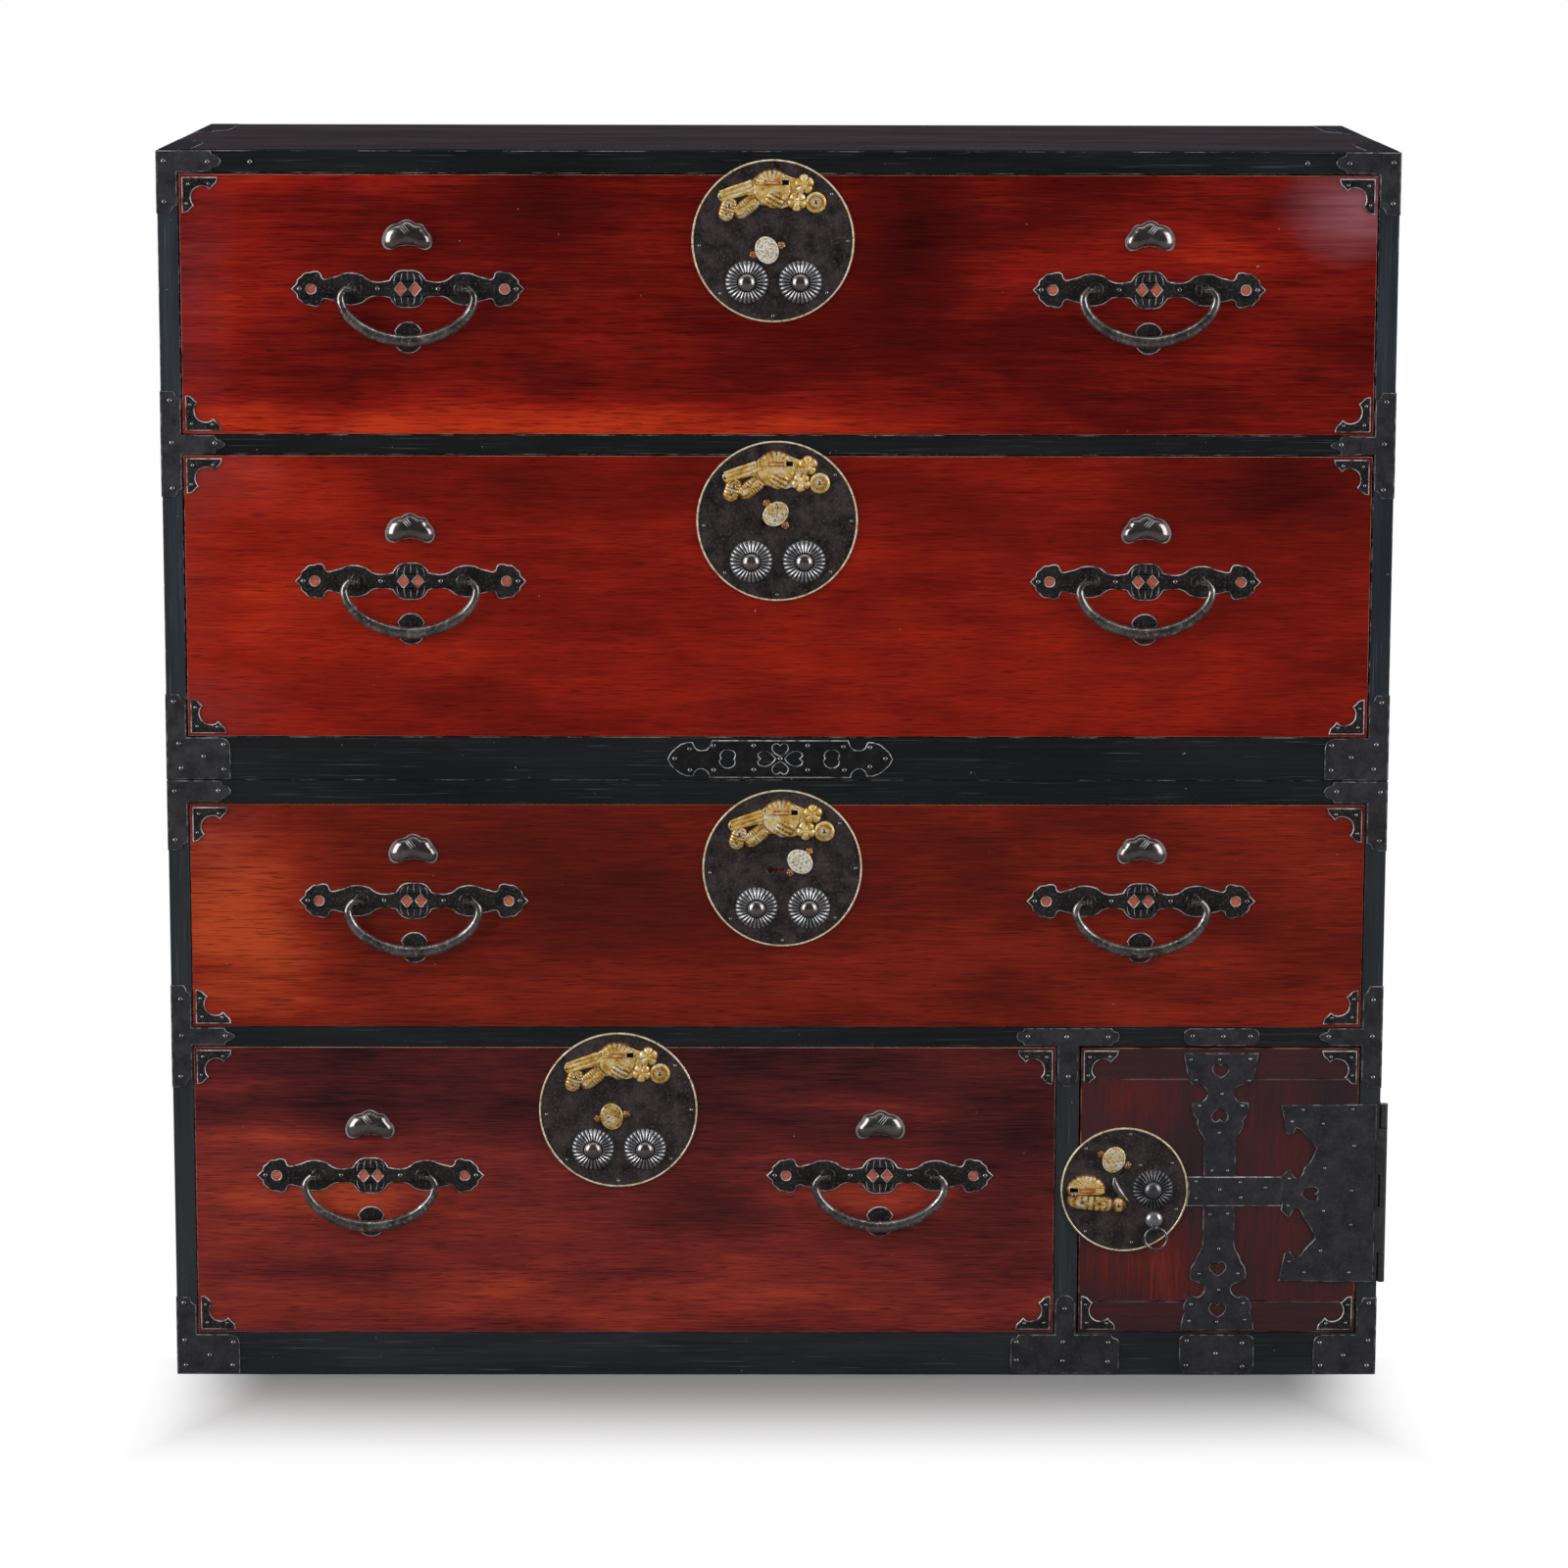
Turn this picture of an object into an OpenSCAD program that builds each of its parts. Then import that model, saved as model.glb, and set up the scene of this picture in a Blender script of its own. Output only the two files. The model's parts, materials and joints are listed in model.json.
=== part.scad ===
// Two-section clothing chest of drawers, standing on z = 0 with its front towards -Y.
// The lower chest holds a drawer over a narrower drawer and a door; the upper one holds two drawers.

/* [Case] */
// Width over the side boards
case_w = 1060; // [980:10:1160]
// Depth from the frame face to the back
case_d = 430; // [400:5:480]
// Thickness of the side boards, and width of the stiles that cover them
side_t = 18; // [16:1:24]
// Thickness of the top, middle and bottom boards
board_t = 12; // [9:1:14]
// Thickness of the back panels
back_t = 9; // [6:1:12]
// Depth of the grooves in the sides that hold the boards
dado_d = 4; // [2:1:6]
// Depth of the frame strips from front to back
frame_t = 20; // [18:1:26]
// Height of the rail above the top drawer
top_rail_h = 19.5; // [16:0.5:26]
// Height of the rails between two drawers
mid_rail_h = 17.5; // [16:0.5:24]
// Height of the bottom rail of each chest
base_rail_h = 38.5; // [32:0.5:46]
// Height of the rail at the top of the lower chest
seam_rail_h = 20.5; // [18:0.5:26]
// Width of the divider between the bottom drawer and the door
divider_w = 20; // [18:1:26]
// Width of the door opening
door_open_w = 247; // [235:1:265]

/* [Drawers] */
// Height of the top drawer's opening
top_open_h = 223.5; // [210:0.5:240]
// Height of the second drawer's opening
second_open_h = 246; // [215:0.5:260]
// Height of the third drawer's opening
third_open_h = 199; // [195:0.5:230]
// Height of the opening for the bottom drawer and the door
bottom_open_h = 259.5; // [245:0.5:280]
// Thickness of the drawer fronts
front_t = 20; // [18:1:22]
// Thickness of the drawer sides
drawer_side_t = 12; // [9:1:14]
// Thickness of the drawer backs
drawer_back_t = 10; // [8:1:14]
// Thickness of the drawer floors
drawer_floor_t = 7; // [5:1:10]
// Wood left in front of the drawer sides and floor
front_lap = 8.5; // [8.5:0.5:11]
// How far the drawer sides stop below the top of the front
box_drop = 6; // [4:1:10]
// Gap at each side of a drawer
side_gap = 1; // [0.6:0.1:1.4]
// Gap above a drawer front and a door
top_gap = 1; // [0.6:0.1:1.4]
// Gap under a drawer and a door
run_gap = 0.5; // [0.3:0.1:0.8]
// Gap behind a closed drawer
rear_gap = 0.5; // [0.3:0.1:0.9]
// How far the drawer fronts and the door stand in front of the frame
face_proud = 0.3; // [0.3:0.1:0.8]

/* [Handles] */
// Distance of the handles from the middle of a wide drawer
wide_handle_x = 317; // [290:1:340]
// Distance of the handles from the middle of the bottom drawer
narrow_handle_x = 224; // [200:1:240]
// Height of the handle posts above the middle of a drawer front
handle_rise = 13.5; // [8:0.5:18]
// Thickness of the iron plates under the handles
plate_t = 1.2; // [1:0.1:1.5]
// Distance of the two posts from the middle of a handle
post_x = 45.7; // [44:0.1:46]
// Height of the bail's pins above the wood
pivot_h = 9; // [8.8:0.1:11]
// Radius of a post's stem
post_r = 3; // [2.5:0.1:3.4]
// Outer radius of a post's eye
eye_r = 5; // [4.5:0.1:5.2]
// Length of a post's eye
eye_l = 5; // [4:0.1:5]
// Radius of the bail's pins
pin_r = 2.2; // [1.8:0.1:2.4]
// Running clearance of the bail's pins
pin_gap = 0.08; // [0.05:0.01:0.1]
// Largest radius of the bail, at its middle
bail_r = 5.6; // [4.6:0.1:5.8]
// Radius of the bail at its ends
bail_end_r = 2.7; // [2.6:0.1:2.8]
// Drop from the pins to the middle line of the bail
bail_drop = 44; // [40:1:47]
// Largest half width of the bail's middle line
bail_half_w = 57; // [57:0.5:62]

/* [Lock plates] */
// Radius of a drawer's lock plate with its rim
lock_r = 69.5; // [68:0.5:72]
// Radius of the door's lock plate with its rim
door_lock_r = 56; // [56:0.5:58]
// Thickness of the lock plates
lock_t = 1.5; // [1.2:0.1:2]
// Width of the rim round a lock plate
rim_w = 2; // [1.5:0.1:2.5]
// Height of the rim above the wood
rim_h = 2.4; // [2.2:0.1:2.8]
// Distance from the top of a drawer front down to its plate's middle
lock_drop = 56; // [55:0.5:58]
// Radius of the fluted bosses
boss_r = 18.8; // [16:0.1:19]
// Height of the fluted bosses above the plate
boss_h = 6.5; // [5:0.5:8]
// Thickness of the gilt ornaments
gilt_t = 3; // [2:0.5:4]
// Length of the tab that works the lock
tab_w = 14; // [12:0.5:15]
// Height of the tab
tab_h = 4; // [3.5:0.1:4.2]
// Travel of the tab
tab_travel = 5.5; // [4.5:0.5:6]
// Length of the slot that the tab runs in
slot_w = 29; // [28:0.5:30]
// Lift of the bolt when the tab is pushed over
bolt_lift = 8; // [6:0.5:8.5]
// Thickness of the bolt
bolt_t = 4; // [3:0.5:4.5]
// Travel of the door's bolt
door_bolt_travel = 7; // [5:0.5:8]

/* [Door] */
// Thickness of the door
door_t = 18; // [16:1:19]
// Width of the door's end clamps
clamp_w = 28; // [24:1:34]
// Gap at the opening edge of the door
door_gap = 1.5; // [1.5:0.1:2]
// Thickness of the hinge leaves
leaf_t = 1.5; // [1.2:0.1:1.8]
// Outer radius of the hinge barrel
barrel_r = 3.3; // [3:0.1:3.6]
// Radius of the hinge pin
hinge_pin_r = 1.5; // [1.2:0.1:1.7]
// Running clearance of the hinge pin
hinge_gap = 0.06; // [0.03:0.01:0.1]
// Outer radius of the door's pull ring
ring_r = 10.8; // [10:0.1:12]
// Radius of the ring's wire
wire_r = 1.1; // [0.9:0.1:1.2]

/* [Straps] */
// Thickness of the iron straps on the frame
strap_t = 1; // [0.6:0.1:1.2]
// Length of the strap arms along the rails, from the case's edge
strap_arm = 55; // [45:1:70]
// Length of the strap arms that wrap on to the sides
wrap_arm = 34; // [24:1:60]

/* [Hidden] */
$fn = 64;
DRAWERS = ["top_drawer", "second_drawer", "third_drawer", "bottom_drawer"];
DRAWER_PIECES = ["front", "box", "iron_fittings", "lock_plate", "lock_ornament", "key_cover",
                 "lock_tab", "lock_bolt", "left_bail", "right_bail"];
OTHER_NODES = ["door_panel", "door_straps", "door_hinge_leaf", "door_lock_plate", "door_ornament",
               "door_key_cover", "door_lock_bolt", "door_ring", "side_hinge_leaf",
               "lower_case_sides", "lower_case_boards", "lower_case_back", "lower_case_divider",
               "lower_case_frame", "lower_case_straps",
               "upper_case_sides", "upper_case_boards", "upper_case_back",
               "upper_case_frame", "upper_case_straps"];

lacquer_black = [0.10, 0.10, 0.12];
lacquer_red = [0.55, 0.09, 0.06];
bare_wood = [0.62, 0.47, 0.32];
iron = [0.20, 0.20, 0.22];
gilt = [0.80, 0.64, 0.30];
copper = [0.72, 0.42, 0.26];

// Cuts run this far past the faces that they open
past = 1;
// Clearance between pieces that slide or swing past each other
slip = 0.3;
// Joint line between two pieces of one node that are glued, nailed or driven together
seam = 0.05;

// Heights of the openings and of the two chests
bottom_z = base_rail_h;
third_z = bottom_z + bottom_open_h + mid_rail_h;
lower_h = third_z + third_open_h + seam_rail_h;
second_z = lower_h + base_rail_h;
top_z = second_z + second_open_h + mid_rail_h;
total_h = top_z + top_open_h + top_rail_h;

// Front to back, with the fittings' depth shared so that the whole stands over the origin
fittings_d = pivot_h + bail_r + face_proud;
front_y = (fittings_d - case_d) / 2;
back_y = front_y + case_d;
face_y = front_y - face_proud;
frame_back_y = front_y + frame_t;
board_back_y = back_y - back_t;
inner_x = case_w / 2 - side_t;
door_x0 = inner_x - door_open_w;
divider_x0 = door_x0 - divider_w;

open_x1 = [inner_x, inner_x, inner_x, divider_x0];
open_z = [top_z, second_z, third_z, bottom_z];
open_h = [top_open_h, second_open_h, third_open_h, bottom_open_h];
handle_x = [wide_handle_x, wide_handle_x, wide_handle_x, narrow_handle_x];
// Each plate sits a little off the middle of its drawer, as hand-fitted ones do
lock_shift = [-5, -1, 4, -6];
cover_turn = [199, 130, 49, 189];

function drawer_cx(i) = (open_x1[i] - inner_x) / 2;
function front_z0(i) = open_z[i] + run_gap;
function front_z1(i) = open_z[i] + open_h[i] - top_gap;
function lock_x(i) = drawer_cx(i) + lock_shift[i];
function lock_z(i) = front_z1(i) - lock_drop;
function handle_z(i) = (front_z0(i) + front_z1(i)) / 2 + handle_rise;

// Lock works, measured from the plate's middle as seen from the front
slot_c = [-1, 50];
slot_h = tab_h + 0.5;
bolt_x0 = slot_c[0] - tab_w / 2 - 2;
bolt_x1 = slot_c[0] + tab_w / 2 + tab_travel + 1;
bolt_l = 30;
bolt_top = lock_drop - 1.5;
bolt_drop = bolt_top - bolt_l;
carrier_t = 2;
carrier_l = 17;
carrier_out = slip + carrier_t;
bolt_out = carrier_out + slip;
guide_w = 3;
guide_out = bolt_out + bolt_t + 1;
pocket_d = guide_out + slip;
cam_pin_r = 1.5;
cam_start = [slot_c[0] - 2, slot_c[1] - 6];
key_pivot = [7, -3.5];
keyhole = [-10.2, -1.4];
cover_l = 25;
rosette_r = 3.5;
rivet_r = 1.4;

// Door, measured like the case
door_left = door_x0 + door_gap;
door_right = inner_x - side_gap;
door_z0 = bottom_z + run_gap;
door_z1 = bottom_z + bottom_open_h - top_gap;
door_lock = [door_x0 + 40.8, (door_z0 + door_z1) / 2 + 1.2];
door_slot_c = [-32.6, 0];
door_bolt_z = 5;
door_bolt_in = 3;
door_bolt_l = 34;
door_key_pivot = [2.4, 22.4];
door_cover_turn = 157;
door_boss_c = [25.1, 0.5];
door_boss_r = boss_r - 0.9;
stud_c = [26.6, -28.2];
stud_r = 8.6;
ring_c = [28, stud_c[1] - 5.2 - (ring_r - wire_r)];
ring_h = lock_t + 5.5;
barrel_x = case_w / 2 + slip + barrel_r;
barrel_y = face_y - leaf_t + barrel_r;
leaf_up = 46;
leaf_down = 50.5;
leaf_z0 = door_z0 + leaf_up;
leaf_z1 = door_z1 - leaf_down;
leaf_cz = (leaf_z0 + leaf_z1) / 2;
strap_in = 121.5;
strap_cx = door_right - strap_in;

// Places a flat drawing on a front: x to the right, y up, z towards the viewer
module on_face(x, z) {
    translate([x, face_y, z]) rotate([90, 0, 0]) children();
}

// The same on the frame's own face
module on_frame(x, z) {
    translate([x, front_y, z]) rotate([90, 0, 0]) children();
}

module mirrored() {
    children();
    mirror([1, 0, 0]) children();
}

module both_ways() {
    mirrored() children();
    mirror([0, 1, 0]) mirrored() children();
}

// Box between two corners
module block(a, b) {
    translate(a) cube(b - a);
}

// Part of a disc under a round arc, r wide and h high
module dome_profile(r, h) {
    big_r = (r * r + h * h) / (2 * h);
    intersection() {
        translate([0, h - big_r]) circle(r = big_r, $fn = 96);
        square([r, h]);
    }
}

module dome(r, h) {
    rotate_extrude() dome_profile(r, h);
}

// Slot with round ends between two points, its straight sides a hair inside the ends' outline
module slot_2d(a, b, r) {
    d = b - a;
    half = r - 0.04;
    translate(a) rotate(atan2(d[1], d[0])) {
        circle(r = r);
        translate([norm(d), 0]) circle(r = r);
        translate([0, -half]) square([norm(d), 2 * half]);
    }
}

// Heart with its point down, from two lobes and a square corner
module heart_2d(r) {
    rotate(225) {
        square(2 * r, center = true);
        translate([-r, 0]) circle(r = r);
        translate([0, -r]) circle(r = r);
    }
}

// Cases

module case_sides(z0, h, groove_zs) {
    top = z0 + h - board_t;
    mirrored() difference() {
        block([inner_x, frame_back_y, z0], [case_w / 2, board_back_y, top]);
        for (z = groove_zs) {
            block([inner_x - past, frame_back_y - past, z], [inner_x + dado_d, board_back_y + past, z + board_t]);
        }
    }
}

module case_boards(z0, h, board_zs) {
    top = z0 + h;
    block([-case_w / 2, frame_back_y, top - board_t], [case_w / 2, back_y, top]);
    for (z = board_zs) {
        block([-inner_x - dado_d, frame_back_y, z], [inner_x + dado_d, board_back_y, z + board_t]);
    }
}

module case_back(z0, h) {
    block([-case_w / 2, board_back_y, z0], [case_w / 2, back_y, z0 + h - board_t]);
}

module frame_stiles(z0, h) {
    mirrored() block([inner_x, front_y, z0], [case_w / 2, frame_back_y, z0 + h]);
}

module frame_rail(z0, h) {
    block([-inner_x + seam, front_y, z0], [inner_x - seam, frame_back_y, z0 + h]);
}

// Mortise in the rail above a drawer, where its bolt rises
module bolt_mortise(i) {
    on_face(lock_x(i), front_z1(i)) {
        block([bolt_x0 - past, -past, -bolt_out - bolt_t - 2 * slip],
              [bolt_x1 + past, top_gap + bolt_lift + 2, -bolt_out + 2 * slip]);
    }
}

module lower_case_sides() {
    color(lacquer_black) case_sides(0, lower_h, [bottom_z - board_t, third_z - board_t]);
}

module lower_case_boards() {
    color(bare_wood) case_boards(0, lower_h, [bottom_z - board_t, third_z - board_t]);
}

module lower_case_back() {
    color(bare_wood) case_back(0, lower_h);
}

// Upright panel behind the divider strip, with the stop that the closed door meets
module lower_case_divider() {
    stop_y = face_y + door_t + slip;
    stop_size = 9;
    color(bare_wood) {
        block([divider_x0, frame_back_y, bottom_z], [door_x0, board_back_y, third_z - board_t]);
        block([door_x0 + seam, stop_y, bottom_z],
              [door_x0 + stop_size, stop_y + stop_size, bottom_z + bottom_open_h - seam]);
    }
}

module lower_case_frame() {
    strip_top = bottom_z + bottom_open_h;
    color(lacquer_black) {
        frame_stiles(0, lower_h);
        frame_rail(0, base_rail_h);
        difference() {
            frame_rail(strip_top, mid_rail_h);
            bolt_mortise(3);
        }
        difference() {
            frame_rail(third_z + third_open_h, seam_rail_h);
            bolt_mortise(2);
        }
        difference() {
            block([divider_x0, front_y, bottom_z + seam], [door_x0, frame_back_y, strip_top - seam]);
            // Mortise of the door's bolt, and the notch under the lock plate that lets its tab pass
            on_face(door_x0, door_lock[1]) {
                block([-door_bolt_travel - 2, -door_bolt_z - past, -door_bolt_in - bolt_t - past],
                      [past, door_bolt_z + past, -door_bolt_in + past]);
                block([-door_bolt_travel - 2, -tab_h / 2 - slip, -door_bolt_in],
                      [past, tab_h / 2 + slip, past]);
            }
        }
    }
}

module upper_case_sides() {
    color(lacquer_black) case_sides(lower_h, total_h - lower_h, [second_z - board_t, top_z - board_t]);
}

module upper_case_boards() {
    color(lacquer_black) case_boards(lower_h, total_h - lower_h, [second_z - board_t, top_z - board_t]);
}

module upper_case_back() {
    color(bare_wood) case_back(lower_h, total_h - lower_h);
}

module upper_case_frame() {
    color(lacquer_black) {
        frame_stiles(lower_h, total_h - lower_h);
        frame_rail(lower_h, base_rail_h);
        difference() {
            frame_rail(second_z + second_open_h, mid_rail_h);
            bolt_mortise(1);
        }
        difference() {
            frame_rail(top_z + top_open_h, top_rail_h);
            bolt_mortise(0);
        }
    }
}

// Iron straps on the frame: each has a front leg on a stile, an arm on the rail and a leg on the side
strap_edge = side_t - 1;

module strap_corner(stile_z0, stile_z1, arm_z0, arm_z1) {
    on_frame(0, 0) mirrored() translate([case_w / 2, 0, 0]) linear_extrude(strap_t) {
        translate([-strap_edge, stile_z0]) square([strap_edge, stile_z1 - stile_z0]);
        translate([-strap_arm, arm_z0]) square([strap_arm, arm_z1 - arm_z0]);
    }
    mirrored() block([case_w / 2, front_y - strap_t, stile_z0], [case_w / 2 + strap_t, front_y + wrap_arm, stile_z1]);
}

// Strap across a rail above or below the divider, with a leg along the divider
module strap_tee(rail_z0, rail_z1, leg_z0, leg_z1) {
    half = 45;
    on_frame((divider_x0 + door_x0) / 2, 0) linear_extrude(strap_t) {
        translate([-half, rail_z0]) square([2 * half, rail_z1 - rail_z0]);
        translate([1 - divider_w / 2, leg_z0]) square([divider_w - 2, leg_z1 - leg_z0]);
    }
}

// Strap across the rails over and under the door
module strap_patch(rail_z0, rail_z1) {
    half = 33;
    on_frame(strap_cx, 0) linear_extrude(strap_t) {
        translate([-half, rail_z0]) square([2 * half, rail_z1 - rail_z0]);
    }
}

module lower_case_straps() {
    mid_z = bottom_z + bottom_open_h;
    color(iron) {
        strap_corner(0.5, base_rail_h + 32, 1, base_rail_h - 2);
        strap_corner(mid_z - 37, mid_z + mid_rail_h + 37, mid_z + 1, mid_z + mid_rail_h - 1);
        strap_corner(lower_h - 62, lower_h - 0.5, lower_h - seam_rail_h + 1, lower_h - 0.5);
        strap_tee(mid_z + 1, mid_z + mid_rail_h - 1, mid_z - 36, mid_z + 2);
        strap_tee(1, base_rail_h - 2, 2, base_rail_h + 34);
        strap_patch(mid_z + 1, mid_z + mid_rail_h - 1);
        strap_patch(1, base_rail_h - 2);
    }
}

// Pierced iron ornament in the middle of the upper chest's bottom rail
module rail_ornament_2d() {
    half_w = 98;
    high = base_rail_h - 3;
    difference() {
        square([2 * half_w, high], center = true);
        for (s = [-1, 1], t = [-1, 1]) {
            translate([s * 67, t * high / 2]) circle(r = 6);
        }
        for (a = [0 : 90 : 270]) {
            rotate(a) translate([0, 8.5]) rotate(180) heart_2d(3.8);
        }
        for (s = [-1, 1]) {
            translate([s * 44, 0]) circle(r = 6);
            translate([s * 36, 0]) circle(r = 3.4);
        }
    }
}

module upper_case_straps() {
    mid_z = second_z + second_open_h;
    color(iron) {
        strap_corner(lower_h + 0.5, lower_h + base_rail_h + 37, lower_h + 1, lower_h + base_rail_h - 1);
        strap_corner(mid_z - 37, mid_z + mid_rail_h + 37, mid_z + 1, mid_z + mid_rail_h - 1);
        strap_corner(total_h - 54, total_h - 0.5, total_h - top_rail_h + 1, total_h - 0.5);
        on_frame(2, lower_h + base_rail_h / 2) linear_extrude(strap_t) rail_ornament_2d();
    }
}

// Drawers

// Pocket for the lock works, open at the top, and the round holes behind the keyhole and the rivet
module lock_pocket() {
    block([bolt_x0 - guide_w - 2 * slip, bolt_drop - guide_w - 2 * slip, -pocket_d],
          [bolt_x1 + guide_w + 2 * slip, lock_drop + past, past]);
    translate([keyhole[0], keyhole[1], -front_t / 2]) cylinder(r = 6, h = front_t);
    translate([key_pivot[0], key_pivot[1], -3]) cylinder(r = 4, h = 3 + past);
}

module post_holes(i) {
    for (s = [-1, 1], t = [-1, 1]) {
        on_face(drawer_cx(i) + s * handle_x[i] + t * post_x, handle_z(i)) {
            translate([0, 0, -front_t - past]) cylinder(r = post_r + 0.1, h = front_t + 2 * past);
        }
    }
}

module drawer_front(i) {
    x0 = -inner_x + side_gap;
    x1 = open_x1[i] - side_gap;
    y1 = face_y + front_t;
    lap_y = face_y + front_lap;
    color(lacquer_red) difference() {
        block([x0, face_y, front_z0(i)], [x1, y1, front_z1(i)]);
        block([x0 - past, lap_y, front_z0(i) - past], [x0 + drawer_side_t, y1 + past, front_z1(i) - box_drop]);
        block([x1 - drawer_side_t, lap_y, front_z0(i) - past], [x1 + past, y1 + past, front_z1(i) - box_drop]);
        block([x0 - past, lap_y, front_z0(i) - past], [x1 + past, y1 + past, front_z0(i) + drawer_floor_t]);
        post_holes(i);
        on_face(lock_x(i), lock_z(i)) lock_pocket();
    }
}

module drawer_box(i) {
    x0 = -inner_x + side_gap;
    x1 = open_x1[i] - side_gap;
    y0 = face_y + front_lap;
    y1 = board_back_y - rear_gap;
    z0 = front_z0(i);
    z1 = front_z1(i) - box_drop;
    floor_z = z0 + drawer_floor_t;
    color(bare_wood) {
        block([x0, y0, z0], [x1, y1, floor_z]);
        block([x0, y0, floor_z + seam], [x0 + drawer_side_t, y1, z1]);
        block([x1 - drawer_side_t, y0, floor_z + seam], [x1, y1, z1]);
        block([x0 + drawer_side_t + seam, y1 - drawer_back_t, floor_z + seam],
              [x1 - drawer_side_t - seam, y1, z1]);
    }
}

// Backplate of a handle, with a swelling under each post and a lobed end
module handle_plate_2d() {
    lobe_x = 83;
    point_x = 92;
    swell_x = 50.4;
    difference() {
        union() {
            square([2 * point_x - 4, 12.6], center = true);
            circle(r = 16.2);
            mirrored() {
                translate([swell_x, 0]) circle(r = 13.9);
                translate([lobe_x + 3, 0]) circle(r = 12);
                translate([point_x, 0]) rotate(45) square(11, center = true);
                translate([lobe_x, 8.5]) circle(r = 6.5);
                translate([lobe_x, -8.5]) circle(r = 6.5);
            }
        }
        mirrored() {
            translate([lobe_x - 0.3, 0]) circle(r = 4.1);
            translate([5.5, 0]) rotate(45) square(7.2, center = true);
            translate([post_x, 0]) circle(r = post_r + 0.1);
        }
    }
}

// Split post: an eye for the bail's pin, a stem through the wood and two legs bent over inside
module handle_post() {
    leg_l = 12;
    leg_t = 1.5;
    difference() {
        union() {
            translate([0, 0, -front_t]) cylinder(r = post_r, h = front_t + pivot_h - pin_r - 1);
            translate([-eye_l / 2, 0, pivot_h]) rotate([0, 90, 0]) cylinder(r = eye_r, h = eye_l);
            block([-leg_l, -post_r + 0.5, -front_t - leg_t], [leg_l, post_r - 0.5, -front_t]);
        }
        translate([-eye_l, 0, pivot_h]) rotate([0, 90, 0]) cylinder(r = pin_r + pin_gap, h = 2 * eye_l);
    }
}

// Bean-shaped boss that the raised bail comes to rest over
module bean_boss() {
    half = 8.5;
    r = 13.5;
    h = 6.5;
    mirrored() translate([half, 0, 0]) dome(r, h);
    rotate([90, 0, 90]) translate([0, 0, -half]) linear_extrude(2 * half) mirrored() dome_profile(r, h);
}

module strike_plate_2d() {
    circle(r = 10);
    both_ways() translate([5, 7.5]) circle(r = 6.2);
}

// Corner iron with a round bite, its corner at the origin
module corner_iron_2d() {
    difference() {
        polygon([[0, 0], [29, 0], [32.5, 3], [28, 11], [11, 28], [3, 32.5], [0, 29]]);
        translate([19.5, 19.5]) circle(r = 11.5);
        translate([35, 12]) circle(r = 5.5);
        translate([12, 35]) circle(r = 5.5);
    }
}

module corner_irons(x0, x1, z0, z1) {
    edge = 2.4;
    half_w = (x1 - x0) / 2 - edge;
    half_h = (z1 - z0) / 2 - edge;
    on_face((x0 + x1) / 2, (z0 + z1) / 2) linear_extrude(plate_t) {
        both_ways() translate([-half_w, -half_h]) corner_iron_2d();
    }
}

// Iron guides and leaf spring behind a lock plate
module lock_guides() {
    gx0 = bolt_x0 - slip;
    gx1 = bolt_x1 + slip;
    low = bolt_drop - slip;
    block([gx0 - guide_w, low - guide_w, -guide_out], [gx0, bolt_top - past, 0]);
    block([gx1, low - guide_w, -guide_out], [gx1 + guide_w, bolt_top - past, 0]);
    block([gx0 - guide_w, low - guide_w, -guide_out], [gx1 + guide_w, low, 0]);
    block([-5, low - guide_w, -guide_out], [3, bolt_top - 4, slip - guide_out + 0.3]);
}

module drawer_iron_fittings(i) {
    boss_rise = 46;
    strike_drop = bail_drop - 2.4;
    color(iron) {
        for (s = [-1, 1]) {
            on_face(drawer_cx(i) + s * handle_x[i], handle_z(i)) {
                linear_extrude(plate_t) handle_plate_2d();
                mirrored() translate([post_x, 0, 0]) handle_post();
                translate([0, boss_rise, 0]) bean_boss();
                translate([0, -strike_drop, 0]) linear_extrude(plate_t) strike_plate_2d();
            }
        }
        corner_irons(-inner_x + side_gap, open_x1[i] - side_gap, front_z0(i), front_z1(i));
        on_face(lock_x(i), lock_z(i)) lock_guides();
    }
}

module keyhole_2d() {
    translate(keyhole) circle(r = 3);
    translate([keyhole[0], keyhole[1] - 1.2]) square([12, 2.4]);
}

module drawer_lock_plate(i) {
    color(iron) on_face(lock_x(i), lock_z(i)) linear_extrude(lock_t) difference() {
        circle(r = lock_r - rim_w, $fn = 128);
        translate(slot_c) square([slot_w, slot_h], center = true);
        translate(key_pivot) circle(r = rivet_r + pin_gap);
        keyhole_2d();
    }
}

module lock_rim(r) {
    rotate_extrude($fn = 128) translate([r - rim_w, 0]) square([rim_w, rim_h]);
}

// Fluted flower boss, plain in outline: a low skirt with a round middle
module flower_boss(r) {
    translate([0, 0, lock_t]) {
        dome(r, boss_h * 0.55);
        dome(0.45 * r, boss_h);
    }
}

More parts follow.
